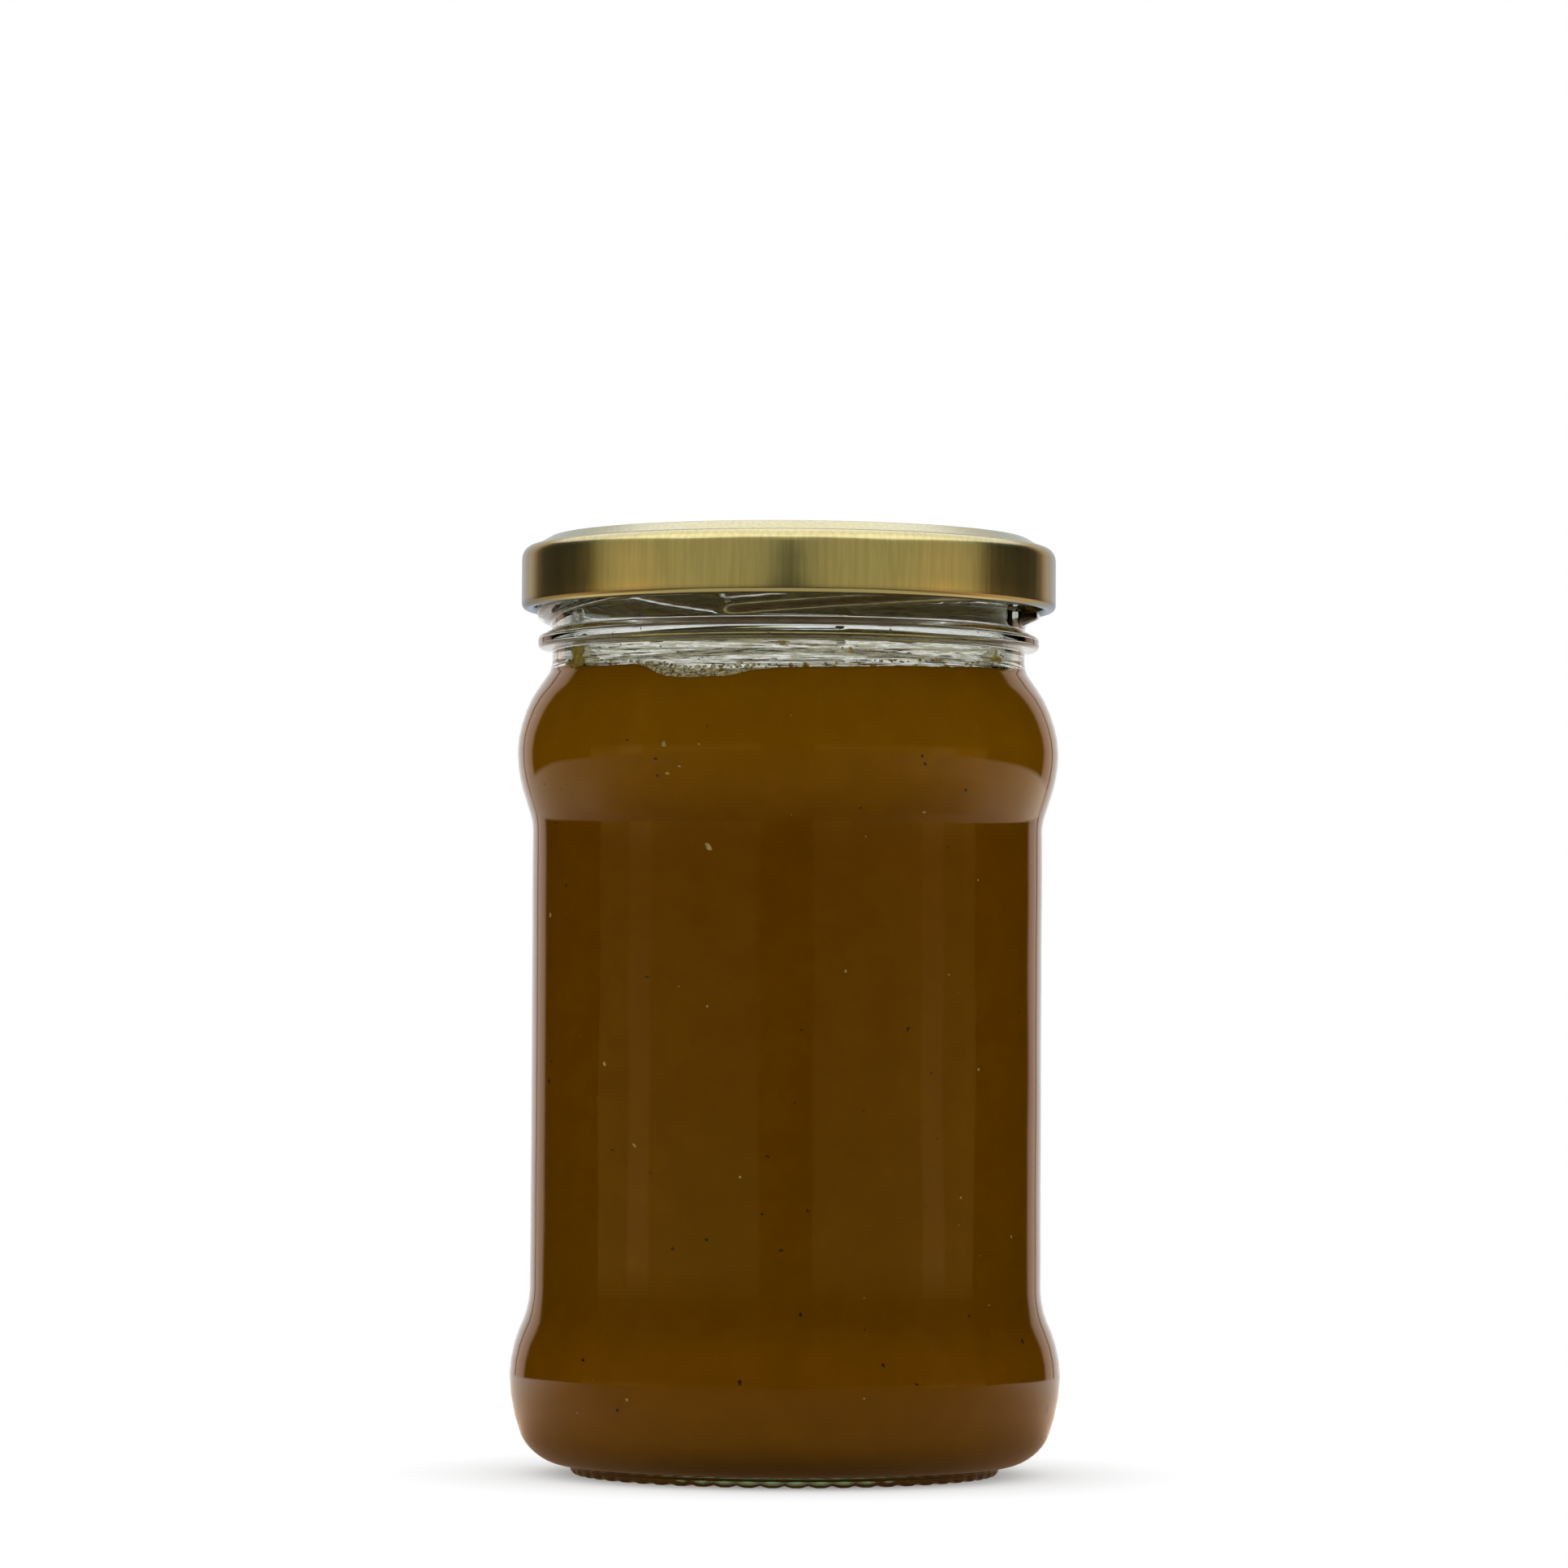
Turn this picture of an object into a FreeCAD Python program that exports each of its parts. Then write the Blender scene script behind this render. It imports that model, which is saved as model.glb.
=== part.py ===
"""Twist-off glass jar with its lug lid and its contents, in millimetres.

Frame: +Z up, origin on the axis in the plane that the foot stands on, -Y is the front.
Four pieces: the glass jar, the sheet-metal lid, the sealing ring inside the lid's channel and
the sauce. All are turned about Z. The closure is the part that needs care: four glass ramps
rise around the finish, and four lugs, pressed out of the lid's rolled hem, sit under them.
"""
import FreeCAD, Part
import math
import os
import Sketcher

Vector = FreeCAD.Vector
Rotation = FreeCAD.Rotation
Placement = FreeCAD.Placement

FULL_TURN = 360
DEGREES_IN_RADIAN = 57.29578

DRIVING_SIZES = {
    # jar, heights: the base is measured up from the foot, the shoulder and finish down from the rim
    "jar_height": 121.3,
    "foot_height": 1.1,
    "heel_height": 2.0,
    "base_bulge_bottom": 8.8,
    "base_bulge_top": 16.1,
    "panel_bottom": 22.0,
    "neck_drop": 16.35,
    "shoulder_slope": 1.427,
    "shoulder_land": 7.4,
    "shoulder_rise": 6.4,
    "bead_bottom_drop": 13.65,
    "bead_height": 1.5,
    "bead_underside_rise": 0.3,
    "bead_top_rise": 0.8,
    # jar, radii: the body from its panel, the closure end from the wall of the finish
    "panel_radius": 33.35,
    "shoulder_swell": 2.05,
    "base_swell": 2.55,
    "heel_inset": 0.25,
    "foot_inset": 5.45,
    "foot_width": 3.2,
    "finish_radius": 31.1,
    "neck_inset": 0.15,
    "bead_swell": 1.75,
    # jar, glass
    "wall": 2.3,
    "finish_wall": 2.5,
    "floor_height": 5.2,
    "push_up": 2.4,
    "push_up_edge": 1.6,
    "push_up_inset": 2.2,
    "push_up_flat": 12.0,
    "knurl_count": 56,
    "knurl_radius": 0.75,
    "knurl_depth": 0.3,
    # jar, roundings
    "foot_rounding": 0.75,
    "foot_crease_rounding": 0.5,
    "heel_rounding": 6.0,
    "base_bulge_lower_rounding": 20.0,
    "base_bulge_upper_rounding": 14.0,
    "panel_bottom_rounding": 10.0,
    "panel_top_rounding": 6.0,
    "shoulder_lower_rounding": 15.0,
    "shoulder_upper_rounding": 13.8,
    "neck_rounding": 3.5,
    "bead_rounding": 0.65,
    "bead_crease_rounding": 0.3,
    "rim_rounding": 0.9,
    "inside_heel_rounding": 7.0,
    "push_up_rounding": 2.0,
    "push_up_crown_rounding": 30.0,
    # closure, glass ramps
    "ramp_count": 4,
    "ramp_swell": 1.85,
    "ramp_start_drop": 11.15,
    "ramp_lead": 15.8,
    "ramp_arc": 92.0,
    "ramp_taper_arc": 7.0,
    "ramp_first_angle": -106.4,
    "ramp_underside_rise": 1.15,
    "ramp_land": 1.05,
    "ramp_top_rise": 1.0,
    "ramp_root": 0.8,
    "ramp_rounding": 0.3,
    # lid, steel sheet
    "sheet": 0.25,
    "lid_side_gap": 3.9,
    "compound": 0.65,
    "channel_inner_gap": 0.75,
    "channel_outer_gap": 0.1,
    "channel_rounding": 0.8,
    "channel_wall_run": 2.2,
    "lid_shoulder_step": 1.25,
    "lid_corner_rounding": 1.7,
    "lid_crease_rounding": 0.9,
    "skirt_height": 8.25,
    "panel_step": 1.4,
    "panel_step_run": 0.7,
    "button_radius": 13.0,
    "button_step": 0.4,
    "button_step_run": 1.4,
    "button_rounding": 2.0,
    "hem_size": 1.7,
    "hem_rounding": 0.82,
    "hem_opening": 0.35,
    # lid, lugs
    "lug_reach": 0.6,
    "lug_thickness": 0.9,
    "lug_width": 7.2,
    "lug_flare": 1.2,
    "lug_rounding": 0.3,
    "lug_seat_gap": 0.05,
    # sauce
    "fill_drop": 17.0,
    "fill_gap": 0.1,
    "fill_edge_rounding": 0.6,
    "dip_radius": 30.0,
    "dip_depth": 2.2,
    "dip_angle": -109.0,
    "dip_distance": 27.0,
}


class Size:
    """A value in step with the spreadsheet: the number now, and the expression that gives it."""

    def __init__(self, value, text):
        self.value = value
        self.text = text

    def combined(self, sign, other, value):
        """This size and another, or a plain number, joined by an arithmetic sign."""
        other_text = other.text if isinstance(other, Size) else str(other)
        return Size(value, f"({self.text} {sign} {other_text})")

    def __add__(self, other):
        return self.combined("+", other, self.value + number(other))

    def __sub__(self, other):
        return self.combined("-", other, self.value - number(other))

    def __mul__(self, other):
        return self.combined("*", other, self.value * number(other))

    def __truediv__(self, other):
        return self.combined("/", other, self.value / number(other))


def number(size):
    """The plain number of a Size, or of a number as it is."""
    return size.value if isinstance(size, Size) else size


def make_sheet(document):
    """The spreadsheet of driving sizes: a note, a value and an alias in each row."""
    sheet = document.addObject("Spreadsheet::Sheet", "sizes")
    for row, (alias, value) in enumerate(DRIVING_SIZES.items(), start=1):
        sheet.set(f"A{row}", alias.replace("_", " "))
        sheet.set(f"B{row}", str(value))
        sheet.setAlias(f"B{row}", alias)
    document.recompute()
    return sheet


def read_sizes():
    """Each driving size under its alias, as a Size."""
    return {alias: Size(value, f"sizes.{alias}") for alias, value in DRIVING_SIZES.items()}


def new_body(document, label):
    """An empty body whose label names its node and its file."""
    body = document.addObject("PartDesign::Body", label)
    body.Label = label
    return body


def origin_feature(body, role):
    """One of the planes or axes of a body's own origin."""
    return [item for item in body.Origin.OriginFeatures if item.Role == role][0]


def new_sketch(body, name, role="XZ_Plane"):
    """A sketch on one of the body's origin planes."""
    sketch = body.newObject("Sketcher::SketchObject", name)
    sketch.AttachmentSupport = [(origin_feature(body, role), "")]
    sketch.MapMode = "FlatFace"
    return sketch


def arc_at_corner(before, corner, after, rounding):
    """The tangent arc that rounds a corner: its ends, its geometry, whether it turns left."""
    towards = (corner - before).normalize()
    away = (after - corner).normalize()
    turn = math.atan2(towards.x * away.y - towards.y * away.x, towards.dot(away))
    reach = rounding * math.tan(abs(turn) / 2)
    start = corner - towards * reach
    end = corner + away * reach
    side = 1 if turn > 0 else -1
    center = start + Vector(-towards.y, towards.x, 0) * rounding * side
    first, last = (start, end) if turn > 0 else (end, start)
    first_angle = math.atan2(first.y - center.y, first.x - center.x)
    last_angle = math.atan2(last.y - center.y, last.x - center.x)
    circle = Part.Circle(center, Vector(0, 0, 1), rounding)
    return start, end, Part.ArcOfCircle(circle, first_angle, last_angle), turn > 0


def pin_point(sketch, geometry, position, name, radial, height):
    """Ties a point to the sketch origin by two named sizes; a zero puts it on the axis."""
    for axis, word, size, on_axis in (("DistanceX", "radius", radial, -2),
                                      ("DistanceY", "height", height, -1)):
        if number(size) == 0:
            sketch.addConstraint(Sketcher.Constraint("PointOnObject", geometry, position, on_axis))
            continue
        index = sketch.addConstraint(
            Sketcher.Constraint(axis, -1, 1, geometry, position, number(size)))
        sketch.renameConstraint(index, f"{name}_{word}")
        sketch.setExpression(f"Constraints.{name}_{word}", size.text)


def draw_outline(sketch, corners):
    """A closed outline of straight lines whose corners are pinned by name and rounded.

    Each corner is (name, distance from the axis, height, rounding or None for a sharp corner).
    A rounded corner keeps its sharp point as construction, on both lines that meet there.
    """
    points = [Vector(number(radial), number(height), 0) for _, radial, height, _ in corners]
    count = len(points)
    starts = list(points)
    ends = list(points)
    arcs = {}
    for index, (_, _, _, rounding) in enumerate(corners):
        if rounding is None:
            continue
        before = points[index - 1]
        after = points[(index + 1) % count]
        ends[index], starts[index], arc, left = arc_at_corner(
            before, points[index], after, number(rounding))
        arcs[index] = (arc, left)
    lines = []
    for index in range(count):
        segment = Part.LineSegment(starts[index], ends[(index + 1) % count])
        lines.append(sketch.addGeometry(segment))
    for index, (name, radial, height, rounding) in enumerate(corners):
        line_in = lines[index - 1]
        line_out = lines[index]
        if rounding is None:
            sketch.addConstraint(Sketcher.Constraint("Coincident", line_in, 2, line_out, 1))
            pin_point(sketch, line_out, 1, name, radial, height)
            continue
        arc, left = arcs[index]
        arc_geometry = sketch.addGeometry(arc)
        point_geometry = sketch.addGeometry(Part.Point(points[index]), True)
        arc_first, arc_last = (1, 2) if left else (2, 1)
        sketch.addConstraint([
            Sketcher.Constraint("PointOnObject", point_geometry, 1, line_in),
            Sketcher.Constraint("PointOnObject", point_geometry, 1, line_out),
            Sketcher.Constraint("Tangent", line_in, 2, arc_geometry, arc_first),
            Sketcher.Constraint("Tangent", arc_geometry, arc_last, line_out, 1)])
        pin_point(sketch, point_geometry, 1, name, radial, height)
        radius = sketch.addConstraint(
            Sketcher.Constraint("Radius", arc_geometry, number(rounding)))
        sketch.renameConstraint(radius, f"{name}_rounding")
        sketch.setExpression(f"Constraints.{name}_rounding", rounding.text)


def turned(body, sketch, name):
    """A sketch turned once round about the body's Z axis."""
    feature = body.newObject("PartDesign::Revolution", name)
    feature.Profile = sketch
    feature.ReferenceAxis = (origin_feature(body, "Z_Axis"), [""])
    feature.Angle = FULL_TURN
    return feature


def repeated(body, feature, name, count):
    """A feature repeated evenly about the body's Z axis."""
    pattern = body.newObject("PartDesign::PolarPattern", name)
    pattern.Originals = [feature]
    pattern.Axis = (origin_feature(body, "Z_Axis"), [""])
    pattern.Angle = FULL_TURN
    pattern.Occurrences = int(number(count))
    pattern.setExpression("Occurrences", count.text)
    body.Tip = pattern
    return pattern


def shoulder_heights(size):
    """Heights of the outline's corners at the neck, at both ends of the shoulder, on the panel.

    They hang from the rim. The slope between shoulder and neck is kept, so a wider body or a
    narrower finish gets a longer shoulder.
    """
    neck = size["jar_height"] - size["neck_drop"]
    neck_radius = size["finish_radius"] - size["neck_inset"]
    shoulder_radius = size["panel_radius"] + size["shoulder_swell"]
    shoulder_top = neck - (shoulder_radius - neck_radius) * size["shoulder_slope"]
    shoulder_bottom = shoulder_top - size["shoulder_land"]
    return neck, shoulder_top, shoulder_bottom, shoulder_bottom - size["shoulder_rise"]


def inside_outline(size, gap):
    """Corners of the jar's inside from the floor to the neck, moved in by a gap."""
    panel = size["panel_radius"] - size["wall"] - gap
    swell_base = panel + size["base_swell"]
    swell_shoulder = panel + size["shoulder_swell"]
    neck_height, shoulder_top, shoulder_bottom, panel_top = shoulder_heights(size)
    return [
        ("inside_heel", swell_base, size["floor_height"] + gap, size["inside_heel_rounding"]),
        ("inside_bulge", swell_base, size["base_bulge_top"], size["base_bulge_upper_rounding"]),
        ("inside_panel_bottom", panel, size["panel_bottom"], size["panel_bottom_rounding"]),
        ("inside_panel_top", panel, panel_top, size["panel_top_rounding"]),
        ("inside_shoulder_bottom", swell_shoulder, shoulder_bottom,
         size["shoulder_lower_rounding"]),
        ("inside_shoulder_top", swell_shoulder, shoulder_top, size["shoulder_upper_rounding"]),
        ("inside_neck", size["finish_radius"] - size["finish_wall"] - gap, neck_height,
         size["neck_rounding"]),
    ]


def outside_outline(size):
    """Corners of the jar's outside from the middle of the push-up to the rim."""
    rim = size["jar_height"]
    panel = size["panel_radius"]
    base = panel + size["base_swell"]
    shoulder = panel + size["shoulder_swell"]
    foot = panel - size["foot_inset"]
    foot_inside = foot - size["foot_width"]
    finish = size["finish_radius"]
    neck = finish - size["neck_inset"]
    bead = finish + size["bead_swell"]
    bead_bottom = rim - size["bead_bottom_drop"]
    bead_top = bead_bottom + size["bead_height"]
    neck_height, shoulder_top, shoulder_bottom, panel_top = shoulder_heights(size)
    return [
        ("push_up_middle", Size(0, "0"), size["push_up"], None),
        ("push_up_crown", size["push_up_flat"], size["push_up"],
         size["push_up_crown_rounding"]),
        ("push_up_edge", foot_inside - size["push_up_inset"], size["push_up_edge"],
         size["push_up_rounding"]),
        ("foot_inner", foot_inside, Size(0, "0"), size["foot_rounding"]),
        ("foot_outer", foot, Size(0, "0"), size["foot_rounding"]),
        ("foot_crease", foot, size["foot_height"], size["foot_crease_rounding"]),
        ("heel", panel - size["heel_inset"], size["heel_height"], size["heel_rounding"]),
        ("bulge_bottom", base, size["base_bulge_bottom"], size["base_bulge_lower_rounding"]),
        ("bulge_top", base, size["base_bulge_top"], size["base_bulge_upper_rounding"]),
        ("panel_bottom", panel, size["panel_bottom"], size["panel_bottom_rounding"]),
        ("panel_top", panel, panel_top, size["panel_top_rounding"]),
        ("shoulder_bottom", shoulder, shoulder_bottom, size["shoulder_lower_rounding"]),
        ("shoulder_top", shoulder, shoulder_top, size["shoulder_upper_rounding"]),
        ("neck", neck, neck_height, size["neck_rounding"]),
        ("bead_lower_crease", neck, bead_bottom - size["bead_underside_rise"],
         size["bead_crease_rounding"]),
        ("bead_bottom", bead, bead_bottom, size["bead_rounding"]),
        ("bead_top", bead, bead_top, size["bead_rounding"]),
        ("bead_upper_crease", finish, bead_top + size["bead_top_rise"],
         size["bead_crease_rounding"]),
        ("rim_outer", finish, rim, size["rim_rounding"]),
        ("rim_inner", finish - size["finish_wall"], rim, size["rim_rounding"]),
    ]


def ramp_height(size, angle_along):
    """Height of a ramp's underside at the finish wall, at an angle from its low end."""
    return size["jar_height"] - size["ramp_start_drop"] + size["ramp_lead"] * angle_along / FULL_TURN


def ramp_section(body, size, name, angle_along, swell):
    """One section of a glass ramp, on the plane through the axis at that angle."""
    sketch = new_sketch(body, name)
    angle = size["ramp_first_angle"] + angle_along
    sketch.AttachmentOffset = Placement(Vector(0, 0, 0), Rotation(Vector(0, 1, 0), number(angle)))
    sketch.setExpression("AttachmentOffset.Rotation.Angle", angle.text)
    foot = ramp_height(size, angle_along)
    finish = size["finish_radius"]
    root = finish - size["ramp_root"]
    underside = foot + size["ramp_underside_rise"]
    land_top = underside + size["ramp_land"]
    top = land_top + size["ramp_top_rise"]
    draw_outline(sketch, [
        ("root_bottom", root, foot, None),
        ("wall_bottom", finish, foot, None),
        ("land_bottom", finish + swell, underside, size["ramp_rounding"]),
        ("land_top", finish + swell, land_top, size["ramp_rounding"]),
        ("wall_top", finish, top, None),
        ("root_top", root, top, None)])
    return sketch


def add_ramps(body, size):
    """The four ramps of the finish, each lofted through sections along its rise."""
    taper = size["ramp_taper_arc"]
    arc = size["ramp_arc"]
    full = size["ramp_swell"]
    tip = full / 4
    middle = arc - taper * 2
    stations = [(taper * 0, tip), (taper * 1, full)]
    stations += [(taper + middle * share, full) for share in (0.25, 0.5, 0.75)]
    stations += [(arc - taper, full), (arc * 1, tip)]
    sections = [ramp_section(body, size, f"ramp_section_{index}", angle, swell)
                for index, (angle, swell) in enumerate(stations)]
    ramp = body.newObject("PartDesign::AdditiveLoft", "ramp")
    ramp.Profile = sections[0]
    ramp.Sections = sections[1:]
    ramp.Ruled = False
    repeated(body, ramp, "ramps", size["ramp_count"])


def add_knurl(body, size):
    """Shallow grooves across the bearing ring of the foot, where hot glass meets the conveyor."""
    foot = size["panel_radius"] - size["foot_inset"]
    inner_end = foot - size["foot_width"] - size["push_up_inset"]
    sunk = size["knurl_depth"] - size["knurl_radius"]
    groove = body.newObject("PartDesign::SubtractiveCylinder", "foot_groove")
    groove.Radius = number(size["knurl_radius"])
    groove.setExpression("Radius", size["knurl_radius"].text)
    length = foot - inner_end
    groove.Height = number(length)
    groove.setExpression("Height", length.text)
    groove.AttachmentSupport = [(origin_feature(body, "YZ_Plane"), "")]
    groove.MapMode = "FlatFace"
    groove.AttachmentOffset = Placement(Vector(0, number(sunk), number(inner_end)), Rotation())
    groove.setExpression("AttachmentOffset.Base.y", sunk.text)
    groove.setExpression("AttachmentOffset.Base.z", inner_end.text)
    repeated(body, groove, "foot_grooves", size["knurl_count"])


def make_jar(document, size):
    """The glass: one turned section with foot, bulges, neck, bead and rim, then the ramps."""
    body = new_body(document, "glass_jar")
    section = new_sketch(body, "glass_section")
    inside = inside_outline(size, Size(0, "0"))
    floor = ("floor_middle", Size(0, "0"), size["floor_height"], None)
    draw_outline(section, outside_outline(size) + inside[::-1] + [floor])
    turned(body, section, "glass_turned")
    add_ramps(body, size)
    add_knurl(body, size)
    return body


def lid_top(size):
    """Height of the lid's raised channel: rim, sealing compound and sheet."""
    return size["jar_height"] + size["compound"] + size["sheet"]


def make_lid(document, size):
    """The lid: pressed sheet with a channel, a recessed panel, a skirt and a rolled hem."""
    body = new_body(document, "twist_lid")
    section = new_sketch(body, "lid_section")
    sheet = size["sheet"]
    top = lid_top(size)
    side = size["finish_radius"] + size["lid_side_gap"]
    channel_in = size["finish_radius"] - size["finish_wall"] - size["channel_inner_gap"]
    channel_out = size["finish_radius"] + size["channel_outer_gap"]
    shoulder = top - size["lid_shoulder_step"]
    panel = top - size["panel_step"]
    button = panel - size["button_step"]
    edge = shoulder - size["skirt_height"]
    hem = size["hem_size"]
    hem_in = side - hem
    hem_top = edge + hem
    hem_round = size["hem_rounding"]
    channel_round = size["channel_rounding"]
    crease = size["lid_crease_rounding"]
    button_round = size["button_rounding"]
    outside = [
        ("top_middle", Size(0, "0"), button, None),
        ("top_button", size["button_radius"], button, button_round),
        ("top_button_rim", size["button_radius"] + size["button_step_run"], panel, button_round),
        ("top_panel", channel_in - size["panel_step_run"], panel, channel_round - sheet),
        ("top_channel_in", channel_in, top, channel_round),
        ("top_channel_out", channel_out, top, channel_round),
        ("top_crease", channel_out + size["channel_wall_run"], shoulder, crease),
        ("top_corner", side, shoulder, size["lid_corner_rounding"]),
        ("hem_outer", side, edge, hem_round),
        ("hem_inner", hem_in, edge, hem_round),
        ("hem_shoulder", hem_in, hem_top, hem_round),
        ("hem_end", side - sheet - size["hem_opening"], hem_top, None),
    ]
    inside = [
        ("under_hem_end", side - sheet - size["hem_opening"], hem_top - sheet, None),
        ("under_hem_shoulder", hem_in + sheet, hem_top - sheet, hem_round - sheet),
        ("under_hem_inner", hem_in + sheet, edge + sheet, hem_round - sheet),
        ("under_hem_outer", side - sheet, edge + sheet, hem_round - sheet),
        ("under_corner", side - sheet, shoulder - sheet, size["lid_corner_rounding"] - sheet),
        ("under_crease", channel_out + size["channel_wall_run"], shoulder - sheet,
         crease + sheet),
        ("under_channel_out", channel_out, top - sheet, channel_round - sheet),
        ("under_channel_in", channel_in + sheet, top - sheet, channel_round - sheet),
        ("under_panel", channel_in - size["panel_step_run"] + sheet, panel - sheet,
         channel_round),
        ("under_button_rim", size["button_radius"] + size["button_step_run"], panel - sheet,
         button_round),
        ("under_button", size["button_radius"], button - sheet, button_round),
        ("under_middle", Size(0, "0"), button - sheet, None),
    ]
    draw_outline(section, outside + inside)
    turned(body, section, "lid_turned")
    add_lugs(body, size, side, edge)
    return body


def turn_to_ramps(body, size, edge):
    """Twists the lid on until each lug's leading end meets the underside of its ramp."""
    nose_share = size["lug_reach"] / size["ramp_swell"]
    contact = edge + size["lug_thickness"] + size["lug_seat_gap"]
    rise = contact - size["jar_height"] + size["ramp_start_drop"]
    rise = rise - nose_share * size["ramp_underside_rise"]
    nose = size["finish_radius"] + size["lug_reach"]
    half_arc = size["lug_width"] / 2 / nose * DEGREES_IN_RADIAN
    turn = size["ramp_first_angle"] + rise * FULL_TURN / size["ramp_lead"] + half_arc
    body.Placement = Placement(Vector(0, 0, 0), Rotation(Vector(0, 0, 1), number(turn)))
    body.setExpression("Placement.Rotation.Angle", turn.text)


def lug_section(body, size, name, distance, half_width, edge):
    """A rounded section of a lug, across it, at a distance from the axis."""
    sketch = new_sketch(body, name, "YZ_Plane")
    sketch.AttachmentOffset = Placement(Vector(0, 0, number(distance)), Rotation())
    sketch.setExpression("AttachmentOffset.Base.z", distance.text)
    top = edge + size["lug_thickness"]
    rounding = size["lug_rounding"]
    draw_outline(sketch, [
        ("left_bottom", half_width * -1, edge, rounding),
        ("right_bottom", half_width, edge, rounding),
        ("right_top", half_width, top, rounding),
        ("left_top", half_width * -1, top, rounding)])
    return sketch


def add_lugs(body, size, side, edge):
    """The four lugs: tongues pressed inwards from the hem, wider where they leave it."""
    nose = size["finish_radius"] + size["lug_reach"]
    root = side - size["hem_size"] / 2
    half_width = size["lug_width"] / 2
    lug = body.newObject("PartDesign::AdditiveLoft", "lug")
    lug.Profile = lug_section(body, size, "lug_nose", nose, half_width, edge)
    lug.Sections = [lug_section(body, size, "lug_root", root, half_width + size["lug_flare"], edge)]
    lug.Ruled = True
    repeated(body, lug, "lugs", size["ramp_count"])
    turn_to_ramps(body, size, edge)


def make_sealing_ring(document, size):
    """The sealing compound that lines the lid's channel and lies on the glass rim."""
    body = new_body(document, "sealing_ring")
    section = new_sketch(body, "ring_section")
    rim = size["jar_height"]
    channel_in = size["finish_radius"] - size["finish_wall"] - size["channel_inner_gap"]
    inner = channel_in + size["sheet"] + size["channel_rounding"]
    outer = size["finish_radius"] + size["channel_outer_gap"] - size["channel_rounding"]
    top = rim + size["compound"]
    draw_outline(section, [
        ("inner_bottom", inner, rim, None),
        ("outer_bottom", outer, rim, None),
        ("outer_top", outer, top, None),
        ("inner_top", inner, top, None)])
    turned(body, section, "ring_turned")
    return body


def make_sauce(document, size):
    """The contents: the inside of the jar up to the fill level, with a dip at the front."""
    body = new_body(document, "sauce")
    section = new_sketch(body, "sauce_section")
    gap = size["fill_gap"]
    level = size["jar_height"] - size["fill_drop"]
    inside = inside_outline(size, gap)
    _, shoulder_radius, shoulder_height, _ = inside[-2]
    _, neck_radius, neck_height, _ = inside[-1]
    share = (level - shoulder_height) / (neck_height - shoulder_height)
    edge_radius = shoulder_radius - (shoulder_radius - neck_radius) * share
    draw_outline(section, [("bottom_middle", Size(0, "0"), size["floor_height"] + gap, None)]
                 + inside[:-1]
                 + [("fill_edge", edge_radius, level, size["fill_edge_rounding"]),
                    ("fill_middle", Size(0, "0"), level, None)])
    turned(body, section, "sauce_turned")
    dip = body.newObject("PartDesign::SubtractiveSphere", "surface_dip")
    dip.Radius = number(size["dip_radius"])
    dip.setExpression("Radius", size["dip_radius"].text)
    angle = math.radians(number(size["dip_angle"]))
    distance = number(size["dip_distance"])
    lift = level - size["dip_depth"] + size["dip_radius"]
    dip.AttachmentSupport = [(origin_feature(body, "XY_Plane"), "")]
    dip.MapMode = "FlatFace"
    dip.AttachmentOffset = Placement(
        Vector(distance * math.cos(angle), distance * math.sin(angle), number(lift)), Rotation())
    dip.setExpression("AttachmentOffset.Base.z", lift.text)
    body.Tip = dip
    return body


def check(document, bodies):
    """Stops if any object failed to compute or a body is not one valid solid."""
    for item in document.Objects:
        if "Invalid" in item.State or "Error" in item.State:
            raise RuntimeError(f"{item.Label} failed: {item.State}")
    for body in bodies:
        shape = body.Shape
        if shape.isNull() or not shape.isValid() or len(shape.Solids) != 1:
            raise RuntimeError(f"{body.Label} is not one valid solid")
        print(f"{body.Label}: {shape.Volume / 1000:.2f} ml, {shape.BoundBox}")


def main():
    """Builds the four pieces and writes each to its own file."""
    os.makedirs("parts", exist_ok=True)
    document = FreeCAD.newDocument("twist_off_jar")
    make_sheet(document)
    size = read_sizes()
    bodies = [make_jar(document, size), make_lid(document, size),
              make_sealing_ring(document, size), make_sauce(document, size)]
    document.recompute()
    check(document, bodies)
    for body in bodies:
        body.Shape.exportStep(f"parts/{body.Label}.step")


main()
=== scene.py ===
# %% [markdown]
# # A twist-off jar of brown sauce
# The object is a clear glass jar with a swelling shoulder and base, a gold-lacquered lug lid and
# a smooth brown-olive sauce. Nearly everything on it is turned about one upright axis, so most
# pieces start as half of a section and are spun. What isn't round, such as the ramps of the
# closure or the smears on the neck, is moved or added afterwards.
#
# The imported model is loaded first. It fixes every size and place: nothing here moves it.

# %% Load the frame
import math
import random

import bmesh
import bpy
from mathutils import Matrix, Vector, noise


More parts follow.
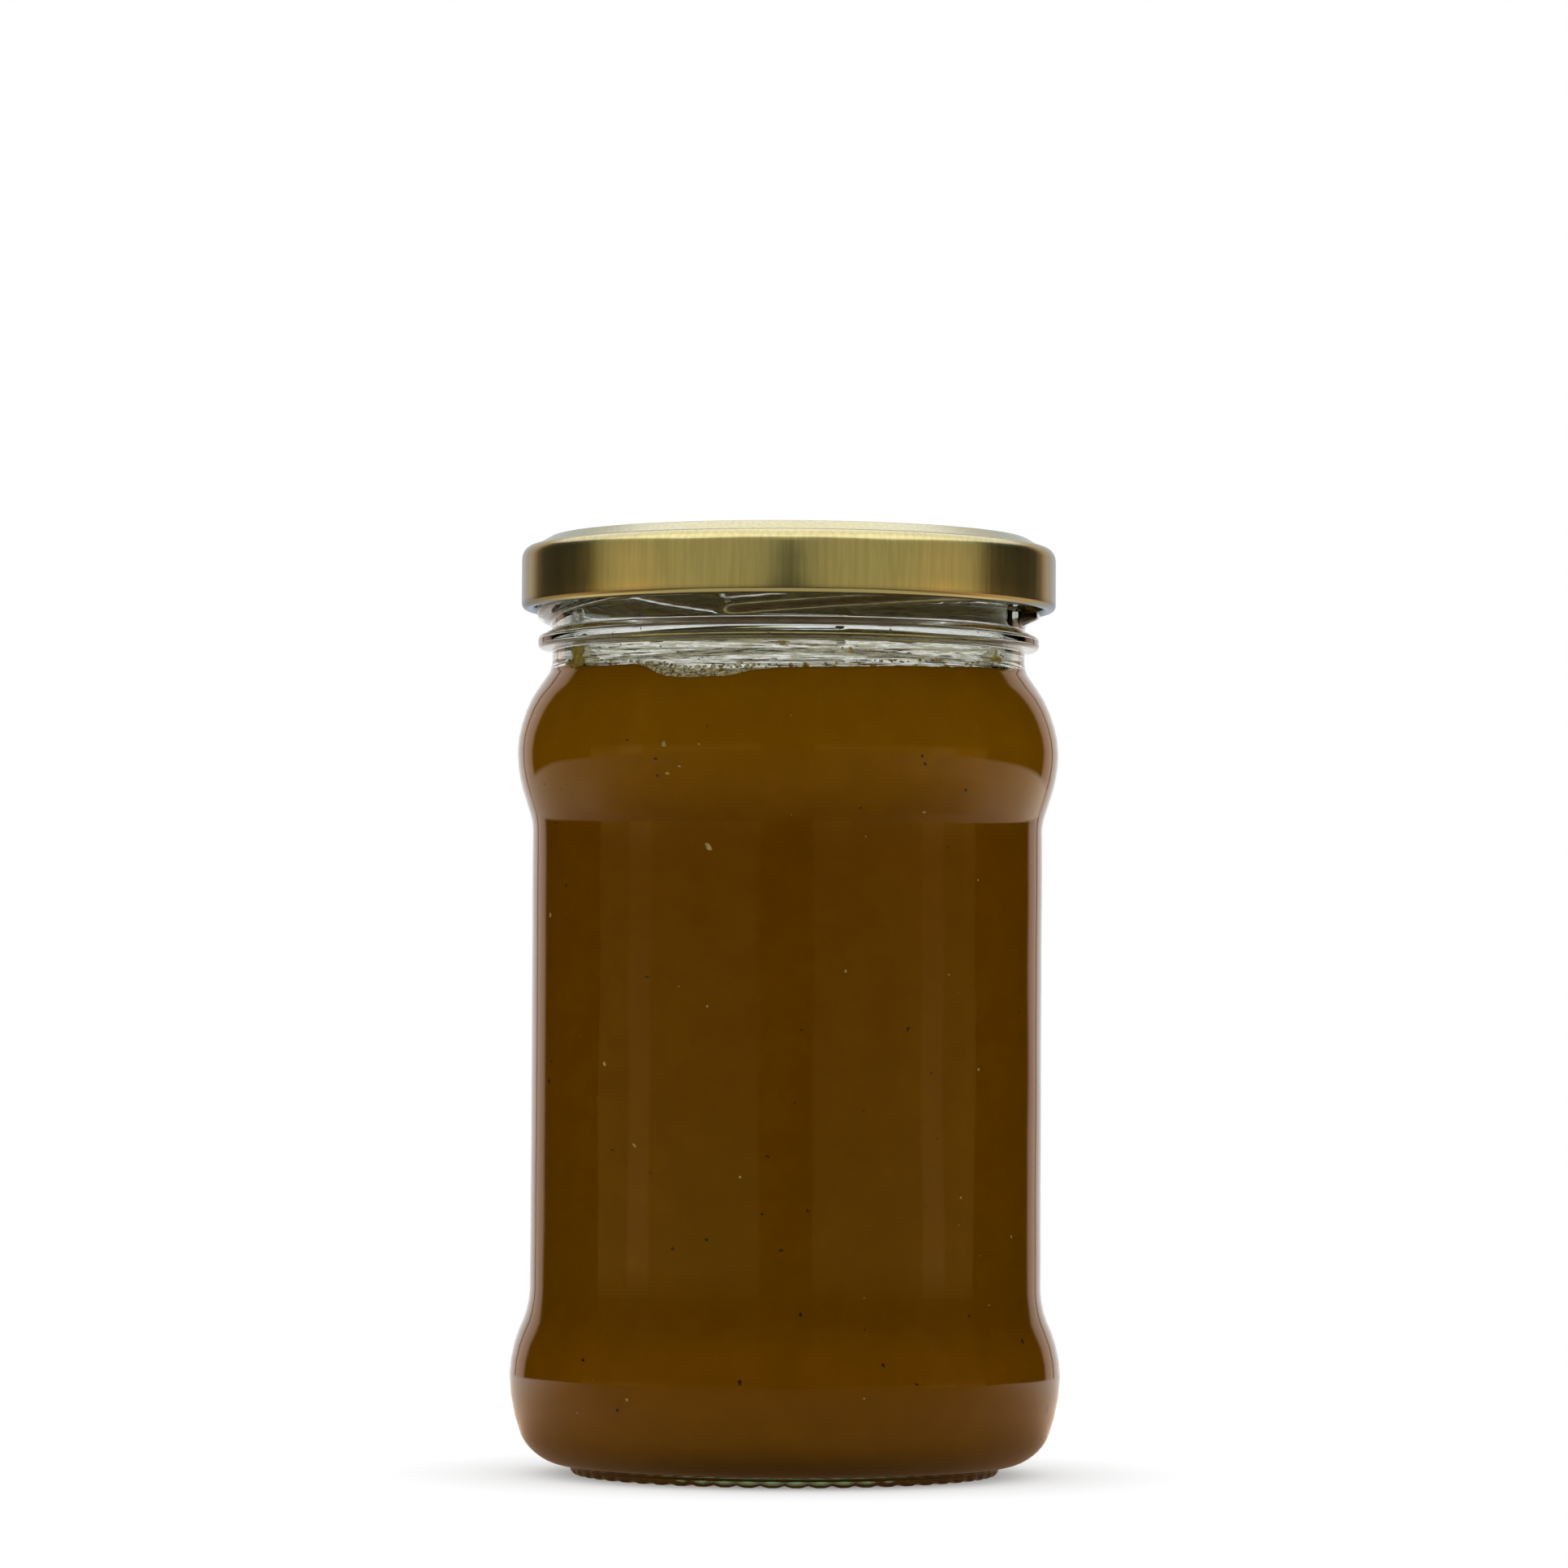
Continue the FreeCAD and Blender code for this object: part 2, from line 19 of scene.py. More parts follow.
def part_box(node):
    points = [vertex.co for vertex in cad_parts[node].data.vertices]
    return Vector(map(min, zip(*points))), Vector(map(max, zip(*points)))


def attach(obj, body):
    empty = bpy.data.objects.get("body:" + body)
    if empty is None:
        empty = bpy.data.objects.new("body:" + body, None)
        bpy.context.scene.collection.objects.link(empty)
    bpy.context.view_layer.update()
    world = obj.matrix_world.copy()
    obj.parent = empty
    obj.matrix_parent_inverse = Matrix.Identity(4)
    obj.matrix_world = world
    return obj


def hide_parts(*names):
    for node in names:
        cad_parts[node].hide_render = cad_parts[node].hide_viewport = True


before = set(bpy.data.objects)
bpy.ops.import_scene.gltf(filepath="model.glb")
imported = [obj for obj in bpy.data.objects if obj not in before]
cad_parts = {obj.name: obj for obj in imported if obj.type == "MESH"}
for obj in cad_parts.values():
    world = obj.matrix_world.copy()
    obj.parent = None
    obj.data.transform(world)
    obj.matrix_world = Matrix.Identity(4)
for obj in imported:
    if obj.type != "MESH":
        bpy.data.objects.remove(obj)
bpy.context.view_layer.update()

MM = 0.001  # a millimetre in Blender's metres
glass_low, glass_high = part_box("glass_jar")
lid_low, lid_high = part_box("twist_lid")
_, sauce_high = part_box("sauce")
RIM = glass_high.z / MM
LID_EDGE = lid_low.z / MM
LID_TOP = lid_high.z / MM
LEVEL = sauce_high.z / MM
print(f"rim at {RIM:.2f} mm, lid from {LID_EDGE:.2f} to {LID_TOP:.2f} mm, sauce to {LEVEL:.2f} mm")

# %% [markdown]
# ## Turned pieces
# A turned piece is known by its section: a few corners, each with a rounding. The corners become
# the vertices of a wire, a vertex bevel rounds each one, long edges are divided where later moves
# need points, and the wire is spun. Working in millimetres keeps the numbers readable, and the
# finished mesh is scaled to metres once, at the end.

# %% A rounded section, spun about the upright axis


def rounded_wire(corners, degrees_a_step=8):
    """A wire through (radius, height, rounding) corners, with each rounding as a true arc."""
    mesh = bmesh.new()
    points = [Vector((radius, 0, height)) for radius, height, _ in corners]
    verts = [mesh.verts.new(point) for point in points]
    for first, second in zip(verts, verts[1:]):
        mesh.edges.new((first, second))
    for index, (_, _, rounding) in enumerate(corners):
        if not rounding:
            continue
        turn = (points[index] - points[index - 1]).angle(points[index + 1] - points[index])
        segments = max(3, math.ceil(math.degrees(turn) / degrees_a_step))
        bmesh.ops.bevel(mesh, geom=[verts[index]], offset=rounding * math.tan(turn / 2),
                        offset_type="OFFSET", segments=segments, profile=0.5,
                        affect="VERTICES", material=-1)
    return mesh


def divide_edges(mesh, longest, where=lambda point: True):
    """Divides the edges whose middle lies where asked, until none is longer than given."""
    by_cuts = {}
    for edge in mesh.edges:
        middle = (edge.verts[0].co + edge.verts[1].co) / 2
        cuts = math.ceil(edge.calc_length() / longest) - 1
        if cuts > 0 and where(middle):
            by_cuts.setdefault(cuts, []).append(edge)
    for cuts, edges in by_cuts.items():
        bmesh.ops.subdivide_edges(mesh, edges=edges, cuts=cuts)


def sort_by_corners(mesh):
    """Puts edges and faces in an order that is the same in every run, which a spin's isn't."""
    mesh.verts.index_update()
    for sequence in (mesh.edges, mesh.faces):
        sequence.sort(key=lambda part: min(vert.index for vert in part.verts) * len(mesh.verts)
                      + max(vert.index for vert in part.verts))


def spin_wire(mesh, steps):
    """Spins the wire once round, closes the seam and the poles, and points the faces outwards."""
    bmesh.ops.spin(mesh, geom=mesh.verts[:] + mesh.edges[:], cent=(0, 0, 0), axis=(0, 0, 1),
                   angle=math.tau, steps=steps, use_merge=True)
    bmesh.ops.remove_doubles(mesh, verts=mesh.verts[:], dist=1e-5)
    bmesh.ops.recalc_face_normals(mesh, faces=mesh.faces[:])
    sort_by_corners(mesh)


def finish_piece(mesh, name, material, replaced=()):
    """Scales a millimetre mesh to metres and makes it a smooth piece that rides on the jar."""
    bmesh.ops.scale(mesh, vec=(MM, MM, MM), verts=mesh.verts[:])
    data = bpy.data.meshes.new(name)
    mesh.to_mesh(data)
    mesh.free()
    data.polygons.foreach_set("use_smooth", [True] * len(data.polygons))
    data.materials.append(material)
    piece = bpy.data.objects.new(name, data)
    bpy.context.scene.collection.objects.link(piece)
    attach(piece, "root")
    if replaced:
        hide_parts(*replaced)
    triangles = sum(len(polygon.vertices) - 2 for polygon in data.polygons)
    print(f"{name}: {len(data.vertices)} vertices, {triangles} triangles")
    return piece


def smooth_step(low, high, value):
    """0 below low, 1 above high, and a smooth change between."""
    share = min(1.0, max(0.0, (value - low) / (high - low)))
    return share * share * (3 - 2 * share)


def around(point):
    """Angle of a point about the axis in degrees, 0 at +X and 90 at +Y."""
    return math.degrees(math.atan2(point.y, point.x))


def from_axis(point):
    """Distance of a point from the upright axis."""
    return math.hypot(point.x, point.y)


def push_outwards(vert, distance):
    """Moves a vertex straight away from the axis."""
    share = (from_axis(vert.co) + distance) / from_axis(vert.co)
    vert.co.x *= share
    vert.co.y *= share


corner = rounded_wire([(0, 0, 0), (10, 0, 2), (10, 10, 0)])
print(f"a square corner with a 2 mm rounding becomes {len(corner.verts)} points")
corner.free()

# %% [markdown]
# ## Materials
# Every material is a small node tree. One function turns a hex colour to the linear values that
# Cycles works with, and one adds a node with its settings and links, so that each material below
# reads as a list of what it is made of.

# %% Colour and node helpers


def linear(hex_colour):
    """An sRGB hex colour as linear red, green, blue and alpha."""
    channels = [int(hex_colour[i:i + 2], 16) / 255 for i in (0, 2, 4)]
    return [c / 12.92 if c <= 0.04045 else ((c + 0.055) / 1.055) ** 2.4 for c in channels] + [1]


def add_node(tree, kind, settings=None, links=None, **values):
    """Adds a node: settings are its own properties, values its sockets, links what feeds them."""
    node = tree.nodes.new(kind)
    for name, value in (settings or {}).items():
        setattr(node, name, value)
    for name, value in values.items():
        node.inputs[name.replace("_", " ")].default_value = value
    for socket, source in (links or {}).items():
        tree.links.new(source, node.inputs[socket])
    return node


def set_stops(ramp, stops):
    """Gives a colour ramp its stops, each a place and a hex colour."""
    elements = ramp.color_ramp.elements
    while len(elements) < len(stops):
        elements.new(0.5)
    for element, (place, colour) in zip(elements, stops):
        element.position = place
        element.color = linear(colour)


def shade(tree, share, stops):
    """A colour ramp's colour for a share."""
    ramp = add_node(tree, "ShaderNodeValToRGB", links={"Fac": share})
    set_stops(ramp, stops)
    return ramp.outputs["Color"]


def ranged(tree, value, from_low, from_high, to_low=0.0, to_high=1.0):
    """A value carried from one range to another, and held within it."""
    node = add_node(tree, "ShaderNodeMapRange", links={"Value": value})
    for socket, number in zip(("From Min", "From Max", "To Min", "To Max"),
                              (from_low, from_high, to_low, to_high)):
        node.inputs[socket].default_value = number
    return node.outputs[0]


def combined(tree, operation, first, second=None):
    """The result of a sum on one value, alone or with a plain number or another value."""
    node = add_node(tree, "ShaderNodeMath", {"operation": operation}, links={0: first})
    if isinstance(second, float):
        node.inputs[1].default_value = second
    elif second is not None:
        tree.links.new(second, node.inputs[1])
    return node.outputs[0]


def mixed(tree, share, first, second):
    """Two shaders mixed by a share: 0 is all the first, 1 all the second."""
    return add_node(tree, "ShaderNodeMixShader", links={0: share, 1: first, 2: second}).outputs[0]


def new_material(name):
    """An empty material and its node tree."""
    material = bpy.data.materials.new(name)
    material.use_nodes = True
    material.node_tree.nodes.clear()
    return material, material.node_tree


def plain_output(tree, shader):
    """Ends a material in its surface."""
    add_node(tree, "ShaderNodeOutputMaterial", links={"Surface": shader})


print("middle grey 808080 is", round(linear("808080")[0], 3), "in linear light")

# %% [markdown]
# ### Glass
# The jar is soda-lime glass, blown in a mould. It is smooth as water and has no colour of its own,
# apart from a faint green of iron that needs some centimetres of glass to show. A tinted surface
# would make thin walls as green as the thick foot, so the tint is an absorption in the volume
# instead. Light rays that only carry shadows pass straight through, which keeps the sauce lit.

# %% Soda-lime glass, blown in a mould


def soda_lime_glass():
    """Clear container glass: its faint green only shows where the light crosses a lot of it."""
    material, tree = new_material("soda-lime glass")
    glass = add_node(tree, "ShaderNodeBsdfPrincipled", Base_Color=linear("ffffff"),
                     Roughness=0.0, IOR=1.52)
    glass.inputs["Transmission Weight"].default_value = 1.0
    clear = add_node(tree, "ShaderNodeBsdfTransparent", Color=linear("f2f5f1"))
    path = add_node(tree, "ShaderNodeLightPath")
    surface = mixed(tree, path.outputs["Is Shadow Ray"], glass.outputs[0], clear.outputs[0])
    tint = add_node(tree, "ShaderNodeVolumeAbsorption", Color=linear("8fd09a"), Density=14.0)
    add_node(tree, "ShaderNodeOutputMaterial",
             links={"Surface": surface, "Volume": tint.outputs[0]})
    return material


glass_material = soda_lime_glass()
print(glass_material.name, "has", len(glass_material.node_tree.nodes), "nodes")

# %% [markdown]
# ### Gold lacquer
# Lids are stamped from tinplate that was rolled flat and coated with a golden lacquer. The metal
# shines through the lacquer, so it is a metal with a gold base colour and not a yellow paint.
# Rolled sheet keeps a fine grain, here half a millimetre wide and eight long, which varies the
# roughness and the colour by a few percent. On the rolled hem the colour is painted darker and
# duller, as painted shade.

# %% Gold lacquer on tinplate
GRAIN_WIDE = 0.5
GRAIN_LONG = 8.0


def gold_lacquer():
    """Satin gold lacquer over rolled tinplate: a soft warm metal with a faint upright grain."""
    material, tree = new_material("gold lacquer on tinplate")
    place = add_node(tree, "ShaderNodeTexCoord").outputs["Object"]
    stretched = add_node(tree, "ShaderNodeMapping", links={"Vector": place},
                         Scale=(1 / MM / GRAIN_WIDE, 1 / MM / GRAIN_WIDE, 1 / MM / GRAIN_LONG))
    grain = add_node(tree, "ShaderNodeTexNoise", links={"Vector": stretched.outputs[0]},
                     Scale=1.0, Detail=3.0)
    rough = ranged(tree, grain.outputs["Fac"], 0, 1, 0.21, 0.26)
    gold = shade(tree, grain.outputs["Fac"], [(0.35, "d3c071"), (0.65, "e0cc79")])
    height = add_node(tree, "ShaderNodeSeparateXYZ", links={"Vector": place})
    # painted shade: below this height the gold gives way to the darker, duller colour a89e72 on the
    # hem
    above_painted_hem_shade = ranged(tree, height.outputs["Z"], (LID_EDGE + 0.4) * MM, (LID_EDGE + 1.2) * MM)
    colour = add_node(tree, "ShaderNodeMix", {"data_type": "RGBA"}, links={0: above_painted_hem_shade, 7: gold})
    colour.inputs[6].default_value = linear("a89e72")
    lacquer = add_node(tree, "ShaderNodeBsdfPrincipled", Metallic=1.0,
                       links={"Roughness": rough, "Base Color": colour.outputs[2]})
    lacquer.inputs["Specular Tint"].default_value = linear("b4c4e2")
    plain_output(tree, lacquer.outputs[0])
    return material


lacquer_material = gold_lacquer()
print(lacquer_material.name, "has", len(lacquer_material.node_tree.nodes), "nodes")

# %% [markdown]
# ### Sauce
# The sauce is a dense vegetable puree: no light passes through it, so it is an opaque brown-olive
# with no gloss where it lies against the glass, whose own surface does the shining. Its colour
# carries painted light: it is painted a little lighter in the swelling shoulder and base, where
# more light reaches it. It is mottled at a few millimetres. Its open top is wet, so there the same
# colours get a gloss.

# %% Sauce
MOTTLE_SIZE = 5.0


def brown_sauce(name, wet):
    """Smooth vegetable puree: dense and brown-olive, mottled, with painted light in shoulder and
    base.
    """
    material, tree = new_material(name)
    place = add_node(tree, "ShaderNodeTexCoord").outputs["Object"]
    height = add_node(tree, "ShaderNodeSeparateXYZ", links={"Vector": place})
    rise = ranged(tree, height.outputs["Z"], 0, sauce_high.z)
    # painted light: the colour by height is lighter in the swelling shoulder and base
    body = shade(tree, rise, [(0.0, "6c4400"), (0.08, "724500"), (0.15, "724500"),
                              (0.24, "6b4200"), (0.5, "6a4000"), (0.79, "693e00"),
                              (0.86, "784c00"), (1.0, "7a4f00")])
    mottle = add_node(tree, "ShaderNodeTexNoise", links={"Vector": place},
                      Scale=1 / MM / MOTTLE_SIZE, Detail=3.0, Roughness=0.55)
    lighter = ranged(tree, mottle.outputs["Fac"], 0.3, 0.7, 0.94, 1.06)
    colour = add_node(tree, "ShaderNodeVectorMath", {"operation": "SCALE"},
                      links={0: body, "Scale": lighter})
    puree = add_node(tree, "ShaderNodeBsdfPrincipled", Roughness=0.35 if wet else 0.6,
                     links={"Base Color": colour.outputs[0]})
    puree.inputs["Specular IOR Level"].default_value = 0.5 if wet else 0.0
    plain_output(tree, puree.outputs[0])
    return material


sauce_material = brown_sauce("sauce against the glass", wet=False)
surface_material = brown_sauce("wet sauce surface", wet=True)
print(sauce_material.name, "and", surface_material.name, "are ready")

# %% [markdown]
# ### Dried film
# Above its level the sauce leaves a film of oil and puree that dries on the glass: pale and streaky
# low down, grey-brown above. A painted glass would lose its shine, so the film is a skin of its own,
# partly clear and partly matt, and half of its light comes from behind. Its streaks lie level and
# are a quarter of a millimetre high, too fine to count. It is thinner at the back.

# %% Dried film on the neck
STREAK_LONG = 2.2
STREAK_TALL = 0.28


def dried_film():
    """A dried film of oil and puree on the glass: pale and streaky low down, grey-brown above."""
    material, tree = new_material("dried film of sauce")
    place = add_node(tree, "ShaderNodeTexCoord").outputs["Object"]
    height = add_node(tree, "ShaderNodeSeparateXYZ", links={"Vector": place})
    bead_share = ranged(tree, height.outputs["Z"], (RIM - 14.5) * MM, (RIM - 12.5) * MM)
    stretched = add_node(tree, "ShaderNodeMapping", links={"Vector": place},
                         Scale=(1 / MM / STREAK_LONG, 1 / MM / STREAK_LONG,
                                1 / MM / STREAK_TALL))
    streaks = add_node(tree, "ShaderNodeTexNoise", links={"Vector": stretched.outputs[0]},
                       Scale=1.0, Detail=5.0, Roughness=0.65)
    colour = add_node(tree, "ShaderNodeMix", {"data_type": "RGBA"}, links={0: bead_share})
    colour.inputs[6].default_value = linear("efe9d6")
    colour.inputs[7].default_value = linear("6e624a")
    matt = add_node(tree, "ShaderNodeBsdfDiffuse", links={"Color": colour.outputs[2]})
    lit_through = add_node(tree, "ShaderNodeBsdfTranslucent", links={"Color": colour.outputs[2]})
    film = add_node(tree, "ShaderNodeMixShader",
                    links={1: matt.outputs[0], 2: lit_through.outputs[0]})
    clear = add_node(tree, "ShaderNodeBsdfTransparent")
    patchy = ranged(tree, streaks.outputs["Fac"], 0.42, 0.62, 0.12, 0.85)
    band = ranged(tree, height.outputs["Z"], (RIM - 16) * MM, (RIM - 8) * MM)
    strong = shade(tree, band, [(0.2, "ffffff"), (0.28, "505050"), (0.57, "505050"),
                                (0.64, "bcbcbc"), (1.0, "bcbcbc")])
    by_height = combined(tree, "MULTIPLY", patchy, strong)
    by_side = ranged(tree, height.outputs["Y"], -0.01, 0.01, 1.0, 0.3)
    cover = combined(tree, "MULTIPLY", by_height, by_side)
    plain_output(tree, mixed(tree, cover, clear.outputs[0], film.outputs[0]))
    return material


film_material = dried_film()
print(film_material.name, "has", len(film_material.node_tree.nodes), "nodes")

# %% [markdown]
# ### Food and compound that wander between two colours
# Vegetable, froth, dried streaks and flecks are all small and damp, and each wanders between two
# colours of its own. One function with two colours, a grain size and a gloss makes them all. It also
# suits the off-white plastisol that seals the lid: poured and cured, smooth and slightly waxy.

# %% Mottled materials


def mottled(name, dark, pale, grain_mm, roughness, gloss):
    """A damp or waxy material that wanders between two colours at a grain in millimetres."""
    material, tree = new_material(name)
    place = add_node(tree, "ShaderNodeTexCoord").outputs["Object"]
    cloud = add_node(tree, "ShaderNodeTexNoise", links={"Vector": place},
                     Scale=1 / MM / grain_mm, Detail=3.0, Roughness=0.6)
    colour = shade(tree, cloud.outputs["Fac"], [(0.38, dark), (0.62, pale)])
    food = add_node(tree, "ShaderNodeBsdfPrincipled", Roughness=roughness,
                    links={"Base Color": colour})
    food.inputs["Specular IOR Level"].default_value = gloss
    plain_output(tree, food.outputs[0])
    return material


# dull and darker than the film, so the level lines stay readable
streak_material = mottled("streaks of dried puree", "3a2e18", "7d6d44", 0.8, 0.5, 0.3)
# yellow-green and damp, the one fresh colour on the neck
vegetable_material = mottled("soft green-yellow vegetable", "7a5f08", "a08c38", 1.2, 0.4, 0.4)
# shiny, with pale tops and brown hollows, as bubbles have
froth_material = mottled("froth on the sauce", "6b5320", "d2c69c", 0.5, 0.2, 0.5)
# nearly black and without shine, since they lie under glass
fleck_material = mottled("dark flecks in the puree", "221202", "3e2602", 0.6, 0.6, 0.1)
# straw-coloured, a little lighter than the sauce around them
pip_material = mottled("pale flecks in the puree", "8f7138", "b9a06a", 0.6, 0.6, 0.1)
# off-white with a waxy shine, barely uneven
compound_material = mottled("plastisol compound", "d3cdbc", "dcd8ca", 2.0, 0.4, 0.5)
print(len(bpy.data.materials), "materials so far")

# %% [markdown]
# ## The glass jar
# Container glass is blown in a mould, so the outside is crisp where the mould shaped it, and the
# inside only follows it. One closed section gives both skins and the thick foot between them. A
# single shell matters with glass: a second shell inside it would show as a boundary.

# %% Section of the jar
PANEL = 33.35  # radius of the straight waist
SHOULDER = PANEL + 2.05
BASE = (glass_high.x - glass_low.x) / 2 / MM
FOOT = PANEL - 5.45  # outer radius of the ring it stands on
FINISH = 31.1  # the wall that the lid goes over
NECK = FINISH - 0.15
BORE = FINISH - 2.5
BEAD = FINISH + 1.75  # the ring below the lid
WALL = 2.3
FLOOR = 5.2  # height of the jar's inside floor

outside = [
    (0, 2.4, 0),
    (12.0, 2.4, 30.0),
    (FOOT - 4.3, 1.7, 0.8),
    (FOOT - 3.4, 0, 0.6),
    (FOOT, 0, 0.75),
    (FOOT, 1.1, 0.5),
    (PANEL - 0.25, 2.0, 6.0),
    (BASE, 8.8, 20.0),
    (BASE, 16.1, 14.0),
    (PANEL, 22.0, 10.0),
    (PANEL, RIM - 36.5, 6.0),
    (SHOULDER, RIM - 30.1, 15.0),
    (SHOULDER, RIM - 22.7, 13.8),
    (NECK, RIM - 16.35, 3.5),
    (NECK, RIM - 13.95, 0.3),
    (BEAD, RIM - 13.65, 0.65),
    (BEAD, RIM - 12.15, 0.65),
    (FINISH, RIM - 11.35, 0.3),
    (FINISH, RIM, 0.9),
    (BORE, RIM, 0.9),
]


def inside_corners(outwards=0.0):
    """Corners of the jar's inside from the floor up to the neck, moved outwards into the wall."""
    panel = PANEL - WALL + outwards
    base = panel + BASE - PANEL
    shoulder = panel + SHOULDER - PANEL
    return [
        (base, FLOOR - outwards, 7.0),
        (base, 16.1, 14.0),
        (panel, 22.0, 10.0),
        (panel, RIM - 36.5, 6.0),
        (shoulder, RIM - 30.1, 15.0),
        (shoulder, RIM - 22.7, 13.8),
        (BORE + outwards, RIM - 16.35, 3.5),
    ]


print(f"{len(outside)} corners outside, {len(inside_corners())} inside, {BORE * 2:.1f} mm bore")

# %% [markdown]
# ### Spinning it
# The section could be drawn by hand as a curve, but corners with true arcs keep the mould's crisp
# breaks. Edges are divided more finely where the ramps and the knurls will be. The number of steps
# around is six for each of the 56 knurls, so every knurl gets the same points.

# %% Spin the jar
KNURL_COUNT = 56
STEPS_AROUND = 6 * KNURL_COUNT
jar = rounded_wire(outside + inside_corners()[::-1] + [(0, FLOOR, 0)])
divide_edges(jar, 0.25, lambda point: point.x > BORE + 1.5 and RIM - 11.5 < point.z < RIM - 2.5)
divide_edges(jar, 0.5, lambda point: point.z < 0.1 and 21 < point.x < 30)
divide_edges(jar, 4.0)
spin_wire(jar, STEPS_AROUND)
print(f"jar has {len(jar.verts)} vertices, closed: {all(e.is_manifold for e in jar.edges)}")

# %% [markdown]
# ### The four ramps of the finish
# The lid's lugs slide under four ramps that climb to the right, a quarter turn apart. They could be
# modelled as four solids and joined, but a boolean leaves ragged shading on glass. The wall is
# already finely divided there, so its points are moved outwards along a formula instead: a ramp has
# a sloping underside, a narrow land and a sloping top, and its ends run out to nothing.

# %% Raise the ramps
RAMP_COUNT = 4
RAMP_FIRST = -106.4
RAMP_ARC = 92.0
RAMP_LEAD = 15.8
RAMP_SWELL = 1.85
RAMP_START = RIM - 11.15


def ramp_swell(angle, height):
    """How far the finish stands out at an angle and height. A ramp's end passes over the next."""
    swell = 0
    for turn in (0, 360 / RAMP_COUNT):
        along = (angle - RAMP_FIRST) % (360 / RAMP_COUNT) + turn
        rise = height - RAMP_START - RAMP_LEAD * along / 360
        section = smooth_step(0.0, 1.15, rise) * (1 - smooth_step(2.1, 3.2, rise))
        ends = smooth_step(0, 5, along) * (1 - smooth_step(RAMP_ARC - 7, RAMP_ARC, along))
        swell = max(swell, RAMP_SWELL * section * ends)
    return swell


def on_finish_wall(point):
    """True for the outer skin between the bead and the rim."""
    return from_axis(point) > BORE + 1.5 and RIM - 11.6 < point.z < RIM - 1


for vert in jar.verts:
    if on_finish_wall(vert.co):
        push_outwards(vert, ramp_swell(around(vert.co), vert.co.z))
ramp_radius = max(from_axis(vert.co) for vert in jar.verts if on_finish_wall(vert.co))
print(f"finish is {2 * ramp_radius:.2f} mm across its ramps")

# %% [markdown]
# ### The knurled foot
# The ring that the jar stands on carries short bars with narrow grooves between them, so that hot
# glass touches the conveyor in few places. The grooves are pressed up into the ring.

# %% Press the grooves into the foot
KNURL_DEPTH = 0.3
KNURL_INWARDS = 0.2


def groove_share(angle):
    """1 in the middle of a groove of the foot, 0 on a bar."""
    wave = 0.5 + 0.5 * math.cos(math.radians(angle) * KNURL_COUNT)
    return wave ** 3


for vert in jar.verts:
    radius = from_axis(vert.co)
    near_ring = smooth_step(FOOT - 5.2, FOOT - 4.0, radius) * (1 - smooth_step(0.5, 1.1, vert.co.z))
    if near_ring > 0 and radius < FOOT + 0.2:
        pressed = groove_share(around(vert.co)) * near_ring
        vert.co.z += KNURL_DEPTH * pressed * (1 - smooth_step(FOOT - 0.6, FOOT, radius) * 0.6)
        push_outwards(vert, -KNURL_INWARDS * pressed * smooth_step(FOOT - 1.2, FOOT, radius))
print(f"{KNURL_COUNT} grooves, {KNURL_DEPTH} mm deep")

# %% [markdown]
# ### Mould dots
# Glassworks drill a row of small dots into the mould, low on the body, as a code for the machine.
# The wall's faces are larger than a dot, so they are divided around each one, and the new points
# rise as a low dome. A separate little dome stuck to the wall would show its edge in the glass.

# %% Raise the dots
DOT_HEIGHT = 5.6
DOT_SIZE = 1.0
DOT_RISE = 0.14
DOT_ANGLES = [-108 + 4.4 * step for step in (0, 1, 3, 4, 5, 8, 10, 11)]


def from_dot(point):
    """Distance in mm from the nearest mould dot, or a long way where there is none."""
    if from_axis(point) < BASE - 2 or not 4 < point.z < 7.5:
        return BASE
    away = min(abs(around(point) - angle) for angle in DOT_ANGLES)
    return math.hypot(math.radians(away) * BASE, point.z - DOT_HEIGHT)


for _ in range(2):
    near = [edge for edge in jar.edges
            if from_dot((edge.verts[0].co + edge.verts[1].co) / 2) < DOT_SIZE]
    bmesh.ops.subdivide_edges(jar, edges=near, cuts=1, use_grid_fill=True)
for vert in jar.verts:
    rise = DOT_RISE * (1 - smooth_step(0, DOT_SIZE / 2, from_dot(vert.co)))
    if rise > 0:
        push_outwards(vert, rise)
print(f"{len(DOT_ANGLES)} mould dots, {len(jar.verts)} vertices in the jar")

# %% [markdown]
# ### A little ripple
# Blown glass is never quite even: reflections in it wander. The jar's points are pushed in and out
# by a twentieth of a millimetre along smooth noise about a centimetre wide. A bump in the material
# would bend the shine but not the outline, and it would show a pattern in the thick foot.

# %% Let the walls ripple a little
RIPPLE = 0.05
RIPPLES_A_MM = 0.11

for vert in jar.verts:
    if from_axis(vert.co) > BORE - 3 and vert.co.z > 3:
        push_outwards(vert, RIPPLE * noise.noise(vert.co * RIPPLES_A_MM))
finish_piece(jar, "jar_body", glass_material, replaced=("glass_jar",))

# %% [markdown]
# ## The lid
# The lid is one sheet of tinplate: a recessed panel with a safety button, a raised channel over the
# rim, a rounded shoulder, a skirt and a hem rolled inwards. Its section is the outline of that
# sheet, both sides, so the spun piece has its real thickness.

# %% Section of the lid
SHEET = 0.25  # thickness of the tinplate
LID_SIDE = FINISH + 3.9
CHANNEL_IN = BORE - 0.75  # the channel lies over the rim
CHANNEL_OUT = FINISH + 0.1
LID_SHOULDER = LID_TOP - 1.25
LID_PANEL = LID_TOP - 1.4
BUTTON = LID_PANEL - 0.4
BUTTON_IN = 13.0  # the button's step, from its lower to its upper edge
BUTTON_OUT = 14.4
HEM = 1.7
HEM_END = LID_SIDE - SHEET - 0.35

